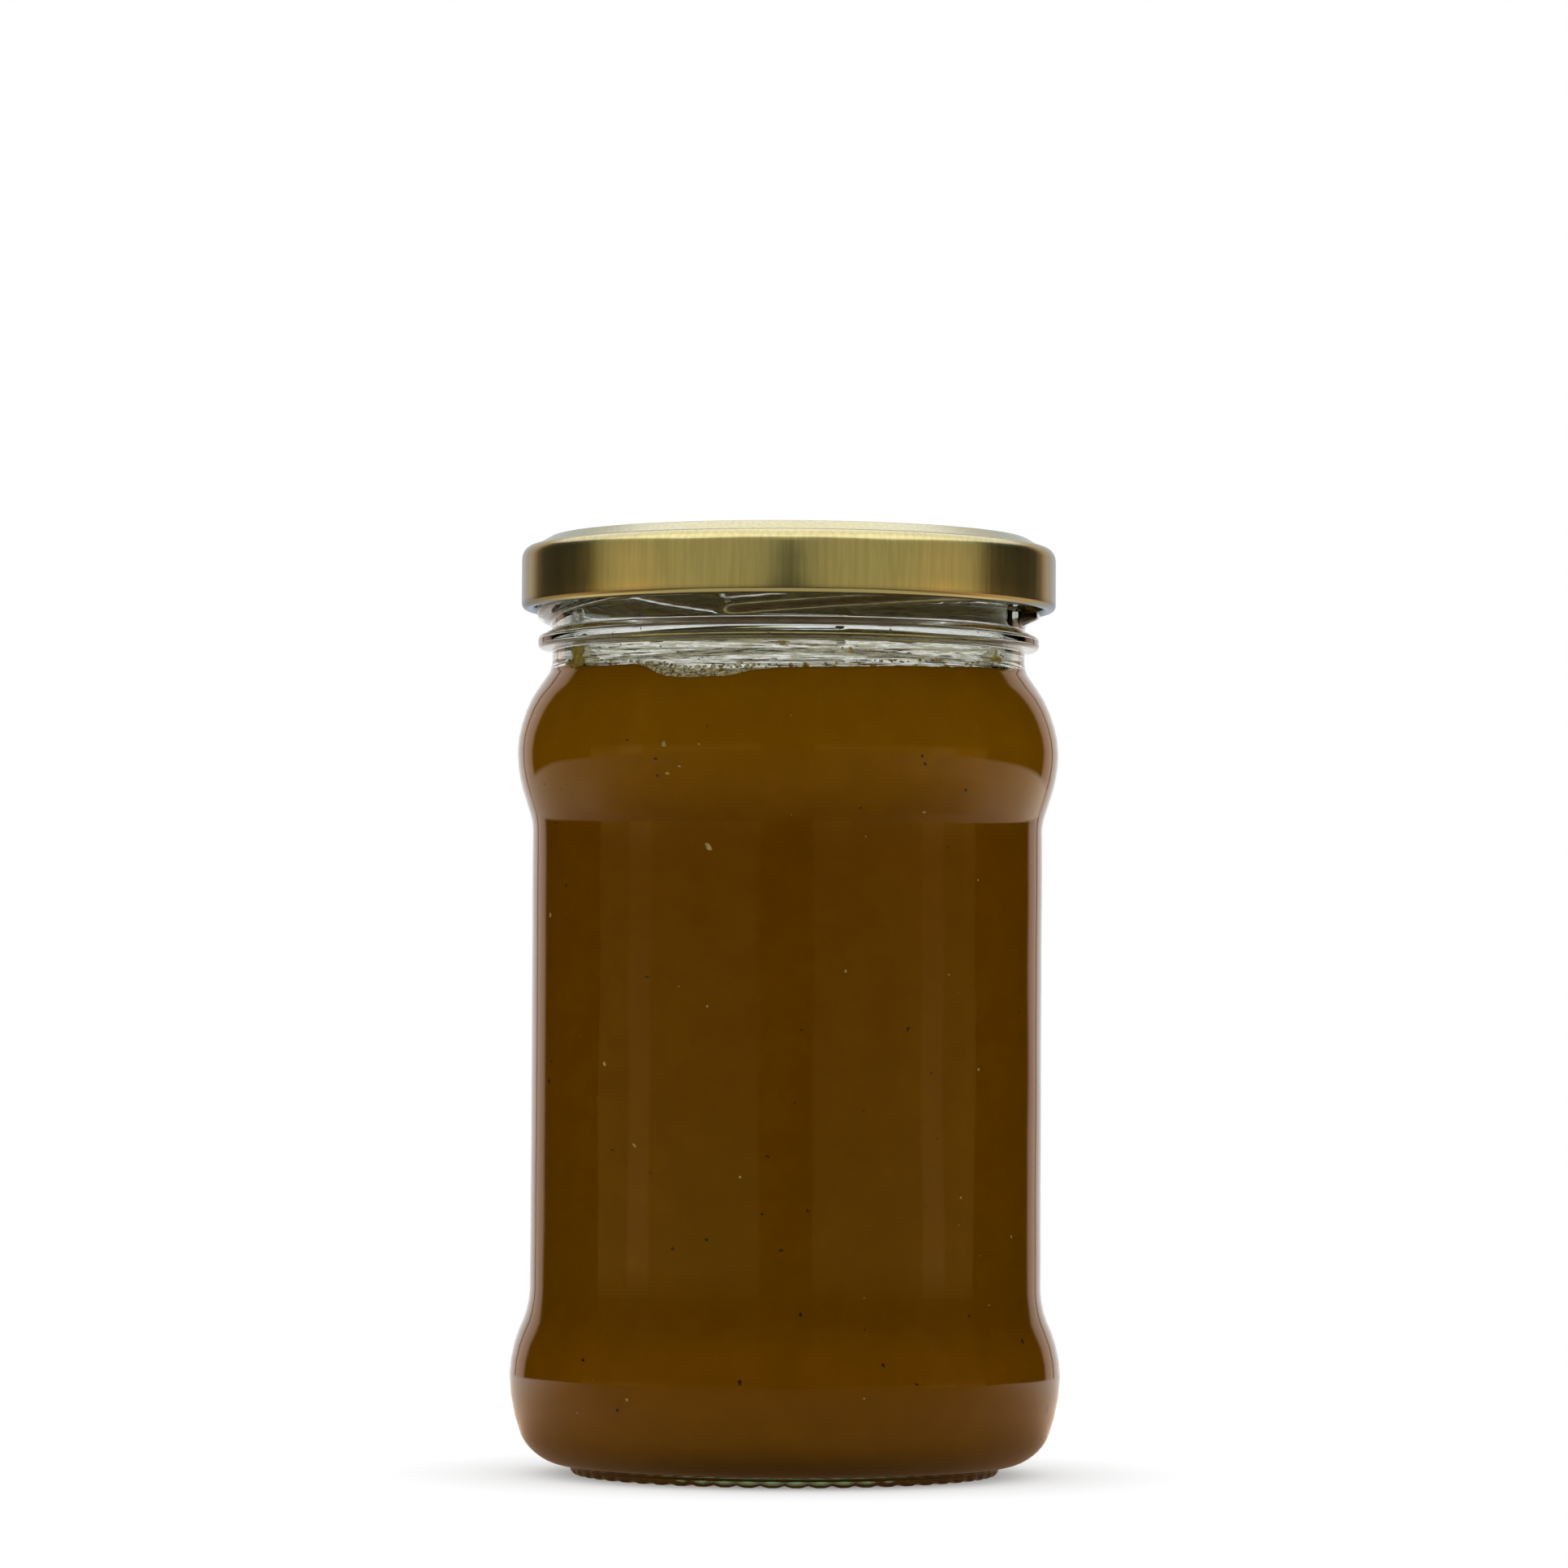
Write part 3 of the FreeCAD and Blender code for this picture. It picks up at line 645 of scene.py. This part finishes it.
lid_outside = [
    (0, BUTTON, 0),
    (BUTTON_IN, BUTTON, 2.0),
    (BUTTON_OUT, LID_PANEL, 2.0),
    (CHANNEL_IN - 0.7, LID_PANEL, 0.55),
    (CHANNEL_IN, LID_TOP, 0.8),
    (CHANNEL_OUT, LID_TOP, 0.8),
    (CHANNEL_OUT + 2.2, LID_SHOULDER, 0.9),
    (LID_SIDE, LID_SHOULDER, 1.7),
    (LID_SIDE, LID_EDGE, 0.82),
    (LID_SIDE - HEM, LID_EDGE, 0.82),
    (LID_SIDE - HEM, LID_EDGE + HEM, 0.82),
    (HEM_END, LID_EDGE + HEM, 0),
]
lid_inside = [
    (HEM_END, LID_EDGE + HEM - SHEET, 0),
    (LID_SIDE - HEM + SHEET, LID_EDGE + HEM - SHEET, 0.57),
    (LID_SIDE - HEM + SHEET, LID_EDGE + SHEET, 0.57),
    (LID_SIDE - SHEET, LID_EDGE + SHEET, 0.57),
    (LID_SIDE - SHEET, LID_SHOULDER - SHEET, 1.45),
    (CHANNEL_OUT + 2.2, LID_SHOULDER - SHEET, 1.15),
    (CHANNEL_OUT, LID_TOP - SHEET, 0.55),
    (CHANNEL_IN + SHEET, LID_TOP - SHEET, 0.55),
    (CHANNEL_IN - 0.7 + SHEET, LID_PANEL - SHEET, 0.8),
    (BUTTON_OUT, LID_PANEL - SHEET, 2.0),
    (BUTTON_IN, BUTTON - SHEET, 2.0),
    (0, BUTTON - SHEET, 0),
]
lid = rounded_wire(lid_outside + lid_inside, degrees_a_step=12)
divide_edges(lid, 2.5)
spin_wire(lid, steps=320)
print(f"lid is {2 * LID_SIDE:.1f} mm across and {LID_TOP - LID_EDGE:.1f} mm tall")

# %% [markdown]
# ### The lugs
# Four stretches of the rolled hem are pressed inwards and flattened, and these lugs catch under the
# ramps. The hem's own points are pushed in along a formula, so each lug blends into the hem as the
# pressed sheet does.

# %% Press the lugs in from the hem
LUG_REACH = LID_SIDE - HEM - (FINISH + 0.6)
LUG_HALF_ARC = 6.6
LUG_THICKNESS = 0.9
LUG_GAP = 0.05
RAMP_CONTACT = 0.37  # how high on a ramp's sloping underside a lug meets it
LUG_CLIMB = LID_EDGE + LUG_THICKNESS + LUG_GAP - RAMP_START - RAMP_CONTACT
LUG_FIRST = RAMP_FIRST + (LUG_CLIMB * 360 / RAMP_LEAD + LUG_HALF_ARC)


def lug_share(angle):
    """1 along the nose of a lug, falling to 0 beyond its flanks."""
    spacing = 360 / RAMP_COUNT
    away = abs((angle - LUG_FIRST + spacing / 2) % spacing - spacing / 2)
    return 1 - smooth_step(LUG_HALF_ARC - 1.0, LUG_HALF_ARC + 2.2, away)


for vert in lid.verts:
    radius = from_axis(vert.co)
    share = lug_share(around(vert.co))
    if share == 0 or vert.co.z > LID_EDGE + HEM + 0.1 or radius > LID_SIDE - SHEET - 0.05:
        continue
    inwards = smooth_step(LID_SIDE - HEM * 0.45, LID_SIDE - HEM, radius)
    push_outwards(vert, -LUG_REACH * inwards * share)
    squeezed = LID_EDGE + (vert.co.z - LID_EDGE) * LUG_THICKNESS / HEM
    vert.co.z += (squeezed - vert.co.z) * share * smooth_step(LID_SIDE - 0.5, LID_SIDE - 1.2, radius)

lid_piece = finish_piece(lid, "lid_sheet", lacquer_material,
                         replaced=("twist_lid",))

# %% [markdown]
# ### The sealing ring
# The compound under the lid is already right as it was built: a plain ring in the channel, nearly
# hidden. It keeps its shape and only gets a material of its own.

# %% Give the ring its compound
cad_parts["sealing_ring"].data.materials.clear()
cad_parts["sealing_ring"].data.materials.append(compound_material)
print("sealing_ring is made of", compound_material.name)

# %% [markdown]
# ## The sauce
# What fills glass has to touch it. If the two surfaces only met, rays would find slivers of air
# between them, so the sauce reaches a little way into the wall, and the wall's inner skin is then
# inside it and never seen. Its section is the inside wall's, moved outwards by that little.

# %% Section of the sauce
INTO_WALL = 0.15
STILL = LEVEL - 6
sauce_corners = inside_corners(INTO_WALL)
slope = (sauce_corners[-1][0] - sauce_corners[-2][0]) / (sauce_corners[-1][1] - sauce_corners[-2][1])
edge_radius = sauce_corners[-2][0] + slope * (LEVEL - sauce_corners[-2][1])
sauce = rounded_wire([(0, FLOOR - INTO_WALL, 0)] + sauce_corners[:-1]
                     + [(edge_radius, LEVEL, 0), (0, LEVEL, 0)])
divide_edges(sauce, 0.6, lambda point: point.z > STILL)
divide_edges(sauce, 4.0)
spin_wire(sauce, steps=240)
print(f"sauce goes {INTO_WALL} mm into the wall and is {2 * edge_radius:.1f} mm across on top")

# %% [markdown]
# ### Where is the wall?
# The wet surface and every trace of sauce have to follow the inside wall. The wall's own section,
# sorted by height, is kept as a list, and radii between its points are read off it.

# %% The inside wall by height


def inside_profile():
    """(height, radius) along the jar's inside wall, from low to high."""
    wire = rounded_wire(inside_corners() + [(BORE, RIM - 1, 0)])
    points = sorted((vert.co.z, vert.co.x) for vert in wire.verts)
    wire.free()
    return points


INSIDE_WALL = inside_profile()


def wall_radius(height):
    """Radius of the jar's inside wall at a height."""
    for (low, low_radius), (high, high_radius) in zip(INSIDE_WALL, INSIDE_WALL[1:]):
        if low <= height <= high:
            return low_radius + (high_radius - low_radius) * (height - low) / (high - low)
    return BORE


print(f"inside radius is {wall_radius(LEVEL):.2f} mm at the sauce's level")

# %% [markdown]
# ### The wet surface
# The top of the sauce is open to the air: uneven, a little higher at the sides, and lower at the
# front, with a dip where it last ran down. The points of the top are lifted along one formula and
# those of the side just below follow, so the edge stays on the wall. Its faces get the wet material.

# %% Shape the wet surface
DIP_ANGLE = -113.0
DIP_DEPTH = 1.3
DIP_LONGER = 1.7  # how much longer the dip is than it is wide


def at_wall(angle, height, inwards=0.0):
    """The point on the inside wall at an angle and height, moved inwards."""
    radius = wall_radius(height) - inwards
    return Vector((radius * math.cos(math.radians(angle)), radius * math.sin(math.radians(angle)),
                   height))


def surface_lift(point):
    """Height of the sauce's surface above its level at a place seen from above."""
    flat = Vector((point.x, point.y, 0))
    ripple = noise.noise(flat * 0.12) * 0.4 + noise.noise(flat * 0.5) * 0.2
    to_the_side = 0.8 * (abs(point.x) / BORE) ** 2 - 0.95
    dip = at_wall(DIP_ANGLE, LEVEL)
    distance = math.hypot((point.x - dip.x) / DIP_LONGER, point.y - dip.y)
    return ripple + to_the_side - DIP_DEPTH * (1 - smooth_step(2.0, 6.5, distance))


for vert in sauce.verts:
    if vert.co.z <= STILL:
        continue
    rim_spot = at_wall(around(vert.co), LEVEL)
    rim_height = LEVEL + surface_lift(rim_spot)
    radius = from_axis(vert.co)
    if vert.co.z < LEVEL - 0.01:
        lowered = STILL + (vert.co.z - STILL) * (rim_height - STILL) / (LEVEL - STILL)
        push_outwards(vert, wall_radius(lowered) - wall_radius(vert.co.z))
        vert.co.z = lowered
    elif radius > 0:
        share = radius / edge_radius
        push_outwards(vert, share * (wall_radius(rim_height) + INTO_WALL) - radius)
        vert.co.z = LEVEL + surface_lift(rim_spot * share)
sauce_piece = finish_piece(sauce, "sauce_fill", sauce_material,
                           replaced=("sauce",))
sauce_piece.data.materials.append(surface_material)
for polygon in sauce_piece.data.polygons:
    if polygon.normal.z > 0.6 and polygon.center.z > (LEVEL - 5) * MM:
        polygon.material_index = 1

# %% [markdown]
# ## Traces of sauce
# A jar that was filled and shaken isn't clean above its level. The inside of the neck carries a
# dried film, fine level streaks, a few soft pieces of vegetable and, in the dip, a little froth.
# Flecks lie in the sauce where it meets the glass. Each kind is one piece made of many low lumps:
# an icosphere is flattened and laid against the wall, a little into it, so nothing floats.

# %% A lump on the inside wall
LUMP_IN_WALL = 0.08

random.seed(11)


def add_lump(mesh, angle, height, length, tall, thick, rough=0.3, fine=1):
    """A lump on the wall: its length along it, how tall it is and how thick, all in mm."""
    seed = Vector((angle, height, length)) * 3.7
    radius = wall_radius(height)
    for vert in bmesh.ops.create_icosphere(mesh, subdivisions=fine, radius=1.0)["verts"]:
        along, inwards, up = vert.co * (1 + rough * noise.noise(vert.co * 1.6 + seed))
        turn = angle + math.degrees(along * length / 2 / radius)
        vert.co = at_wall(turn, height + up * tall / 2, (inwards + 1) * thick / 2 - LUMP_IN_WALL)


def rim_of_sauce(angle):
    """Height at which the sauce meets the wall."""
    return LEVEL + surface_lift(at_wall(angle, LEVEL))


for name, angle in (("front", -90), ("side", 0), ("dip", DIP_ANGLE)):
    print(f"the sauce meets the wall at {rim_of_sauce(angle):.1f} mm at the {name}")

# %% [markdown]
# ### Film on the neck
# The film covers the whole inside of the neck. It is a skin four hundredths of a millimetre thick,
# spun just off the wall, so that it stays a closed solid and never shares a face with the glass.

# %% Film on the neck
FILM_OFF_WALL = 0.03
FILM_THICK = 0.04
heights = [LEVEL - 3.5 + step * 0.5 for step in range(30)]
film = bmesh.new()
loop = [film.verts.new(at_wall(0, height, FILM_OFF_WALL)) for height in heights]
loop += [film.verts.new(at_wall(0, height, FILM_OFF_WALL + FILM_THICK))
         for height in reversed(heights)]
for first, second in zip(loop, loop[1:] + loop[:1]):
    film.edges.new((first, second))
spin_wire(film, steps=180)
finish_piece(film, "neck_film", film_material)

# %% [markdown]
# ### Streaks
# Sauce that swung round the wall dried in thin level smears, densest near its edge, with small
# grains between them. The smears are lumps made very long and low, and the grains short ones.

# %% Streaks
streaks = bmesh.new()
for _ in range(260):
    angle = random.uniform(0, 360)
    height = rim_of_sauce(angle) + random.uniform(0.1, 1.0) ** 1.5 * 4.2
    add_lump(streaks, angle, height, random.uniform(0.4, 1.0) ** 2 * 5.0,
             random.uniform(0.07, 0.2), thick=0.16, rough=0.9)
for _ in range(220):
    angle = random.uniform(0, 360)
    add_lump(streaks, angle, rim_of_sauce(angle) + random.uniform(0.0, 6.0),
             random.uniform(0.15, 0.45), random.uniform(0.1, 0.3), thick=0.16, rough=0.9)
finish_piece(streaks, "sauce_streaks", streak_material)

# %% [markdown]
# ### Vegetable
# A few soft green-yellow pieces stick to the wall just above the sauce, two of them large, and a
# row of small beads follows its edge. The large ones are placed one by one, because their places
# are part of what the jar looks like, and the beads are left to chance.

# %% Pieces of vegetable and beads of sauce
PLACED_BITS = [  # angle, height above the sauce, length, height of the bit itself
    (-154.5, 1.2, 8.0, 5.4),
    (-27.0, 1.8, 4.2, 3.0),
    (-91.5, 3.7, 2.0, 0.6),
    (-74.5, 2.6, 0.9, 0.8),
    (-50.5, 1.2, 1.1, 0.7),
    (62.0, 2.2, 3.0, 2.2),
    (140.0, 1.6, 2.0, 2.4),
]

vegetable = bmesh.new()
for angle, above, length, tall in PLACED_BITS:
    add_lump(vegetable, angle, rim_of_sauce(angle) + above, length, tall, thick=1.1,
             rough=0.6, fine=3)
for _ in range(90):
    angle = random.choice((-1, 1, 1)) * random.uniform(0, 75) - 75
    add_lump(vegetable, angle, rim_of_sauce(angle) + random.uniform(-0.1, 1.0),
             random.uniform(0.25, 0.8), random.uniform(0.2, 0.6), thick=0.4, rough=0.8)
finish_piece(vegetable, "vegetable_bits", vegetable_material)

# %% [markdown]
# ### Froth
# Bubbles gather where the sauce last ran down. They are small round lumps around the dip, crowded
# in its middle and few further out, which a normal distribution gives by itself.

# %% Froth in the dip
FROTH_SPREAD = 8.5

froth = bmesh.new()
for _ in range(420):
    angle = random.gauss(DIP_ANGLE, FROTH_SPREAD)
    size = random.uniform(0.25, 0.75)
    add_lump(froth, angle, rim_of_sauce(angle) + random.uniform(-0.2, 1.7) * random.random(),
             size, size * random.uniform(0.6, 1), thick=size * 0.8)
finish_piece(froth, "froth_bubbles", froth_material)

# %% [markdown]
# ### Flecks
# Herbs and pips that lie against the glass show as dark and pale specks. They are thin lumps inside
# the wall's inner skin, like the sauce around them, so that they are seen through glass alone. Two
# pieces take the dark and the pale ones.

# %% Flecks in the sauce, against the glass
FLECKS_IN_WALL = 0.13

flecks = bmesh.new()
pips = bmesh.new()
for index in range(240):
    mesh = pips if index % 3 == 0 else flecks
    size = random.uniform(0.2, 0.9) ** 1.4
    add_lump(mesh, random.uniform(0, 360), random.uniform(8, LEVEL - 6), size,
             size * random.uniform(0.5, 1.4), thick=0.26, rough=0.9)
for vert in flecks.verts[:] + pips.verts[:]:
    push_outwards(vert, FLECKS_IN_WALL)
finish_piece(flecks, "dark_flecks", fleck_material)
finish_piece(pips, "pale_flecks", pip_material)

# %% [markdown]
# ## Stage and light
# Glass has no colour of its own: what it shows is the room. Here the room is a white backdrop
# behind the jar, dark sides and a dim front, so that the glass gets white bodies with dark edges
# and the sauce keeps its colour. The world gives plain white light to everything matt, and only
# glossy and transmitted rays see the room. The camera sees white wherever it looks.

# %% The room's colours, from 0 in front to 1 behind
ROOM_MIRRORED = [(0.0, "000000"), (0.052, "000000"), (0.056, "241e0e"), (0.064, "241e0e"),
                 (0.068, "786434"), (0.23, "786434"), (0.28, "846a38"), (0.35, "8f7038"),
                 (0.354, "bd9052"), (0.416, "bd9052"), (0.42, "8f7038"), (0.515, "8f7038"),
                 (0.519, "0c0a04"), (0.74, "0c0a04"), (0.772, "302510"), (0.79, "dcb9a0"),
                 (0.845, "f4d8c6"), (0.855, "806458"), (0.865, "f4e2d6"), (0.95, "ffffff")]
ROOM_THROUGH = [(0.0, "161410"), (0.4, "24221c"), (0.6, "3c3a32"), (0.72, "585650"),
                (0.8, "c4c2ba"), (0.9, "f6f4ee"), (1.0, "ffffff")]
TABLE_FAR = [(0.0, "2c241c"), (0.25, "5a4838"), (0.42, "a07e60"), (0.55, "c8a284"),
             (0.7, "dcbc9a"), (0.85, "f0dcc8"), (1.0, "ffffff")]
print(f"{len(ROOM_MIRRORED)} stops mirrored, {len(ROOM_THROUGH)} through glass")

# %% [markdown]
# ### Who sees the room
# A ray that left glass or metal sees the room, and one that has been through glass sees a simpler,
# darker one. Everything else, the camera too, sees plain white. The world and the floor share the
# two tests, so each is a function that adds its nodes to a tree.

# %% Two tests on a ray


def gone_through(tree, path):
    """1 for a ray that has passed through glass at least once on its way, else 0."""
    return combined(tree, "GREATER_THAN", path.outputs["Transmission Depth"], 0.5)


def straight_from_gloss(tree, path):
    """1 for a ray that left glass or metal and met nothing matt on its way, else 0."""
    shiny = combined(tree, "MAXIMUM", path.outputs["Is Glossy Ray"],
                     path.outputs["Is Transmission Ray"])
    not_matt = combined(tree, "LESS_THAN", path.outputs["Diffuse Depth"], 0.5)
    return combined(tree, "MULTIPLY", shiny, not_matt)


print("tests:", gone_through.__name__, "and", straight_from_gloss.__name__)

# %% [markdown]
# ### World
# The world is looked up by direction: how far a ray turns from the front, as a share of half a turn,
# picks the colour, so left and right are alike. The room is dim above the table's edge and darker
# high up behind, and below the horizon it shows the far part of the table.

# %% World: a plain white light, and a room for the glass


def make_world():
    """White light for matt surfaces and the camera, and the room for glass and metal."""
    world = bpy.data.worlds.new("studio")
    world.use_nodes = True
    tree = world.node_tree
    tree.nodes.clear()
    path = add_node(tree, "ShaderNodeLightPath")
    direction = add_node(tree, "ShaderNodeTexCoord").outputs["Generated"]
    parts = add_node(tree, "ShaderNodeSeparateXYZ", links={"Vector": direction})
    rise = parts.outputs["Z"]
    to_front = combined(tree, "MULTIPLY", parts.outputs["Y"], -1.0)
    turn = combined(tree, "ARCTAN2", parts.outputs["X"], to_front)
    share = combined(tree, "DIVIDE", combined(tree, "ABSOLUTE", turn), math.pi)
    strength = add_node(tree, "ShaderNodeMix", {"data_type": "FLOAT"},
                        links={0: ranged(tree, share, 0.6, 0.7),
                               2: ranged(tree, rise, -0.04, 0.06, 1.25, 0.2),
                               3: ranged(tree, rise, 0.5, 0.8, 1.0, 0.35)})
    mirrored = add_node(tree, "ShaderNodeBackground", links={
        "Color": shade(tree, share, ROOM_MIRRORED), "Strength": strength.outputs[0]})
    through = add_node(tree, "ShaderNodeBackground",
                       links={"Color": shade(tree, share, ROOM_THROUGH)})
    table = add_node(tree, "ShaderNodeBackground", links={
        "Color": shade(tree, share, TABLE_FAR),
        "Strength": ranged(tree, parts.outputs["X"], -0.3, 0.3, 0.9, 1.4)})
    below = mixed(tree, ranged(tree, rise, -0.07, -0.1), mirrored.outputs[0], table.outputs[0])
    room = mixed(tree, gone_through(tree, path), below, through.outputs[0])
    plain = add_node(tree, "ShaderNodeBackground", Color=linear("ffffff"), Strength=1.0)
    light = mixed(tree, straight_from_gloss(tree, path), plain.outputs[0], room)
    add_node(tree, "ShaderNodeOutputWorld", links={"Surface": light})
    return world


bpy.context.scene.world = make_world()
print("world:", bpy.context.scene.world.name)

# %% [markdown]
# ### Floor
# The jar stands on white paper, which darkens only where the jar shades it and melts into the white
# backdrop. Paper as bright as the backdrop can't be had by light alone, so the paper gives way to
# a plain white glow a few centimetres from the foot. Glass sees it as part of the room: a table
# that ends, darker towards the front, with a painted shadow close to the jar's foot, and a painted
# greenish glow close to the foot, where only the foot sees it.

# %% Paper for the floor
TABLE_RADIUS = 0.28


def white_paper():
    """Paper with the jar's shadow on it, plain white further out, and a table to the glass."""
    material, tree = new_material("white paper floor")
    path = add_node(tree, "ShaderNodeLightPath")
    place = add_node(tree, "ShaderNodeTexCoord").outputs["Object"]
    distance = add_node(tree, "ShaderNodeVectorMath", {"operation": "LENGTH"},
                        links={0: place}).outputs["Value"]
    depth = add_node(tree, "ShaderNodeSeparateXYZ", links={"Vector": place})
    back = ranged(tree, depth.outputs["Y"], -0.2, 0.2)
    paper = add_node(tree, "ShaderNodeBsdfDiffuse", Color=linear("fcfcfc"))
    white = add_node(tree, "ShaderNodeEmission", Color=linear("ffffff"), Strength=1.0)
    shown = mixed(tree, ranged(tree, distance, 0.02, 0.052), paper.outputs[0], white.outputs[0])
    mirrored_colour = shade(tree, back, [(0.1, "503f34"), (0.38, "7a6250"), (0.5, "c9a283"),
                                         (0.6, "f0cdb0"), (0.7, "f4dcc8"), (1.0, "fff2e6")])
    # painted shadow: the table that glass sees is darker close to the jar's foot
    mirrored = add_node(tree, "ShaderNodeEmission", links={
        "Strength": ranged(tree, distance, 0.03, 0.06, 0.35, 1.0), "Color": mirrored_colour})
    # painted light: close to the foot the table seen through glass glows pale green, as light come
    # through the glass would
    through_colour = add_node(tree, "ShaderNodeMix", {"data_type": "RGBA"}, links={
        0: ranged(tree, distance, 0.04, 0.06, 1.0, 0.0),
        6: shade(tree, back, [(0.25, "a0a8a0"), (0.42, "dce8d4"), (0.5, "ffffff")])})
    through_colour.inputs[7].default_value = linear("c4f0b0")
    through = add_node(tree, "ShaderNodeEmission", Strength=1.0,
                       links={"Color": through_colour.outputs[2]})
    lit = mixed(tree, gone_through(tree, path), mirrored.outputs[0], through.outputs[0])
    nothing = add_node(tree, "ShaderNodeBsdfTransparent")
    beyond = ranged(tree, distance, TABLE_RADIUS - 0.1, TABLE_RADIUS + 0.06)
    table = mixed(tree, beyond, lit, nothing.outputs[0])
    plain_output(tree, mixed(tree, straight_from_gloss(tree, path), shown, table))
    return material


paper_material = white_paper()
print(f"glass sees {paper_material.name} up to about {TABLE_RADIUS} m from the axis")

# %% [markdown]
# ### Laying it
# One plain square, eight metres wide, is enough, since the paper's own glow hides its edge. It is
# part of the stage and not of the object.

# %% Lay the floor
floor_mesh = bmesh.new()
bmesh.ops.create_grid(floor_mesh, x_segments=1, y_segments=1, size=4.0)
floor_data = bpy.data.meshes.new("floor")
floor_mesh.to_mesh(floor_data)
floor_mesh.free()
floor_data.materials.append(paper_material)
floor = bpy.data.objects.new("floor", floor_data)
bpy.context.scene.collection.objects.link(floor)
print("floor is", floor.dimensions.x, "m wide")

# %% [markdown]
# ### Soft boxes
# The lid is satin metal and needs something wide to reflect. Soft boxes stand around it: one on
# each side of the camera, one above, one low on the floor and two small ones behind. Light linking
# keeps them on the lid alone, as flags of black cloth would, so they lay no grey veil on the glass.

# %% Soft boxes for the lid
lid_only = bpy.data.collections.new("lit_by_soft_boxes")
bpy.context.scene.collection.children.link(lid_only)
lid_only.objects.link(lid_piece)


def soft_box(name, place, width, height, brightness, colour, flat=False):
    """A soft box that faces the lid, or lies flat: brightness 1 is white paper in plain light."""
    data = bpy.data.lights.new(name, "AREA")
    data.shape = "RECTANGLE"
    data.size = width
    data.size_y = height
    data.energy = brightness * math.pi * width * height
    data.color = colour
    box = bpy.data.objects.new(name, data)
    bpy.context.scene.collection.objects.link(box)
    towards = Vector((0, 0, 1)) if flat else Vector((0, 0, lid_high.z)) - Vector(place)
    aim = towards.to_track_quat("-Z", "Y").to_matrix().to_4x4()
    box.matrix_world = Matrix.Translation(place) @ aim
    box.visible_camera = False
    box.light_linking.receiver_collection = lid_only


PALE = (0.93, 1.0, 1.04)
SKY = (0.52, 0.58, 1.0)
OLIVE = (0.8, 0.82, 0.6)
COOL = (0.45, 0.62, 1.0)
soft_box("soft_box_left", (-0.516, -0.488, 0.46), 1.5, 0.95, 0.295, PALE)
soft_box("soft_box_right", (0.516, -0.488, 0.46), 1.5, 0.95, 0.295, PALE)
soft_box("soft_box_above", (0, 0, 0.9), 2.2, 2.2, 2.0, SKY)
soft_box("soft_box_low", (0, -0.08, 0.004), 0.34, 0.36, 0.75, OLIVE, flat=True)
soft_box("soft_box_behind_left", (-0.33, 0.62, 0.2), 0.25, 0.4, 0.25, COOL)
soft_box("soft_box_behind_right", (0.33, 0.62, 0.2), 0.25, 0.4, 0.25, COOL)
print(len(bpy.data.lights), "soft boxes, all on", lid_piece.name)

# %% [markdown]
# ### Camera
# The camera stands 83 cm away, a little under half the jar's height, and looks up by two degrees. A
# long lens keeps the uprights nearly upright, and from so low the lid's top vanishes. The camera
# leans by a third of a degree, as on a tripod set up by hand.

# %% Camera
CAMERA_PLACE = (-0.0005, -0.829, 0.0567)
LENS_MM = 145.34
TILT_UP = 2.305
LEAN = 0.3

camera_data = bpy.data.cameras.new("camera")
camera_data.sensor_width = 36
camera_data.lens = LENS_MM
camera = bpy.data.objects.new("camera", camera_data)
bpy.context.scene.collection.objects.link(camera)
camera.matrix_world = (Matrix.Translation(CAMERA_PLACE)
                       @ Matrix.Rotation(math.radians(90 + TILT_UP), 4, "X")
                       @ Matrix.Rotation(math.radians(LEAN), 4, "Z"))
bpy.context.scene.camera = camera
bpy.context.scene.view_settings.view_transform = "Standard"
print(f"camera at {CAMERA_PLACE} m with a {LENS_MM} mm lens")
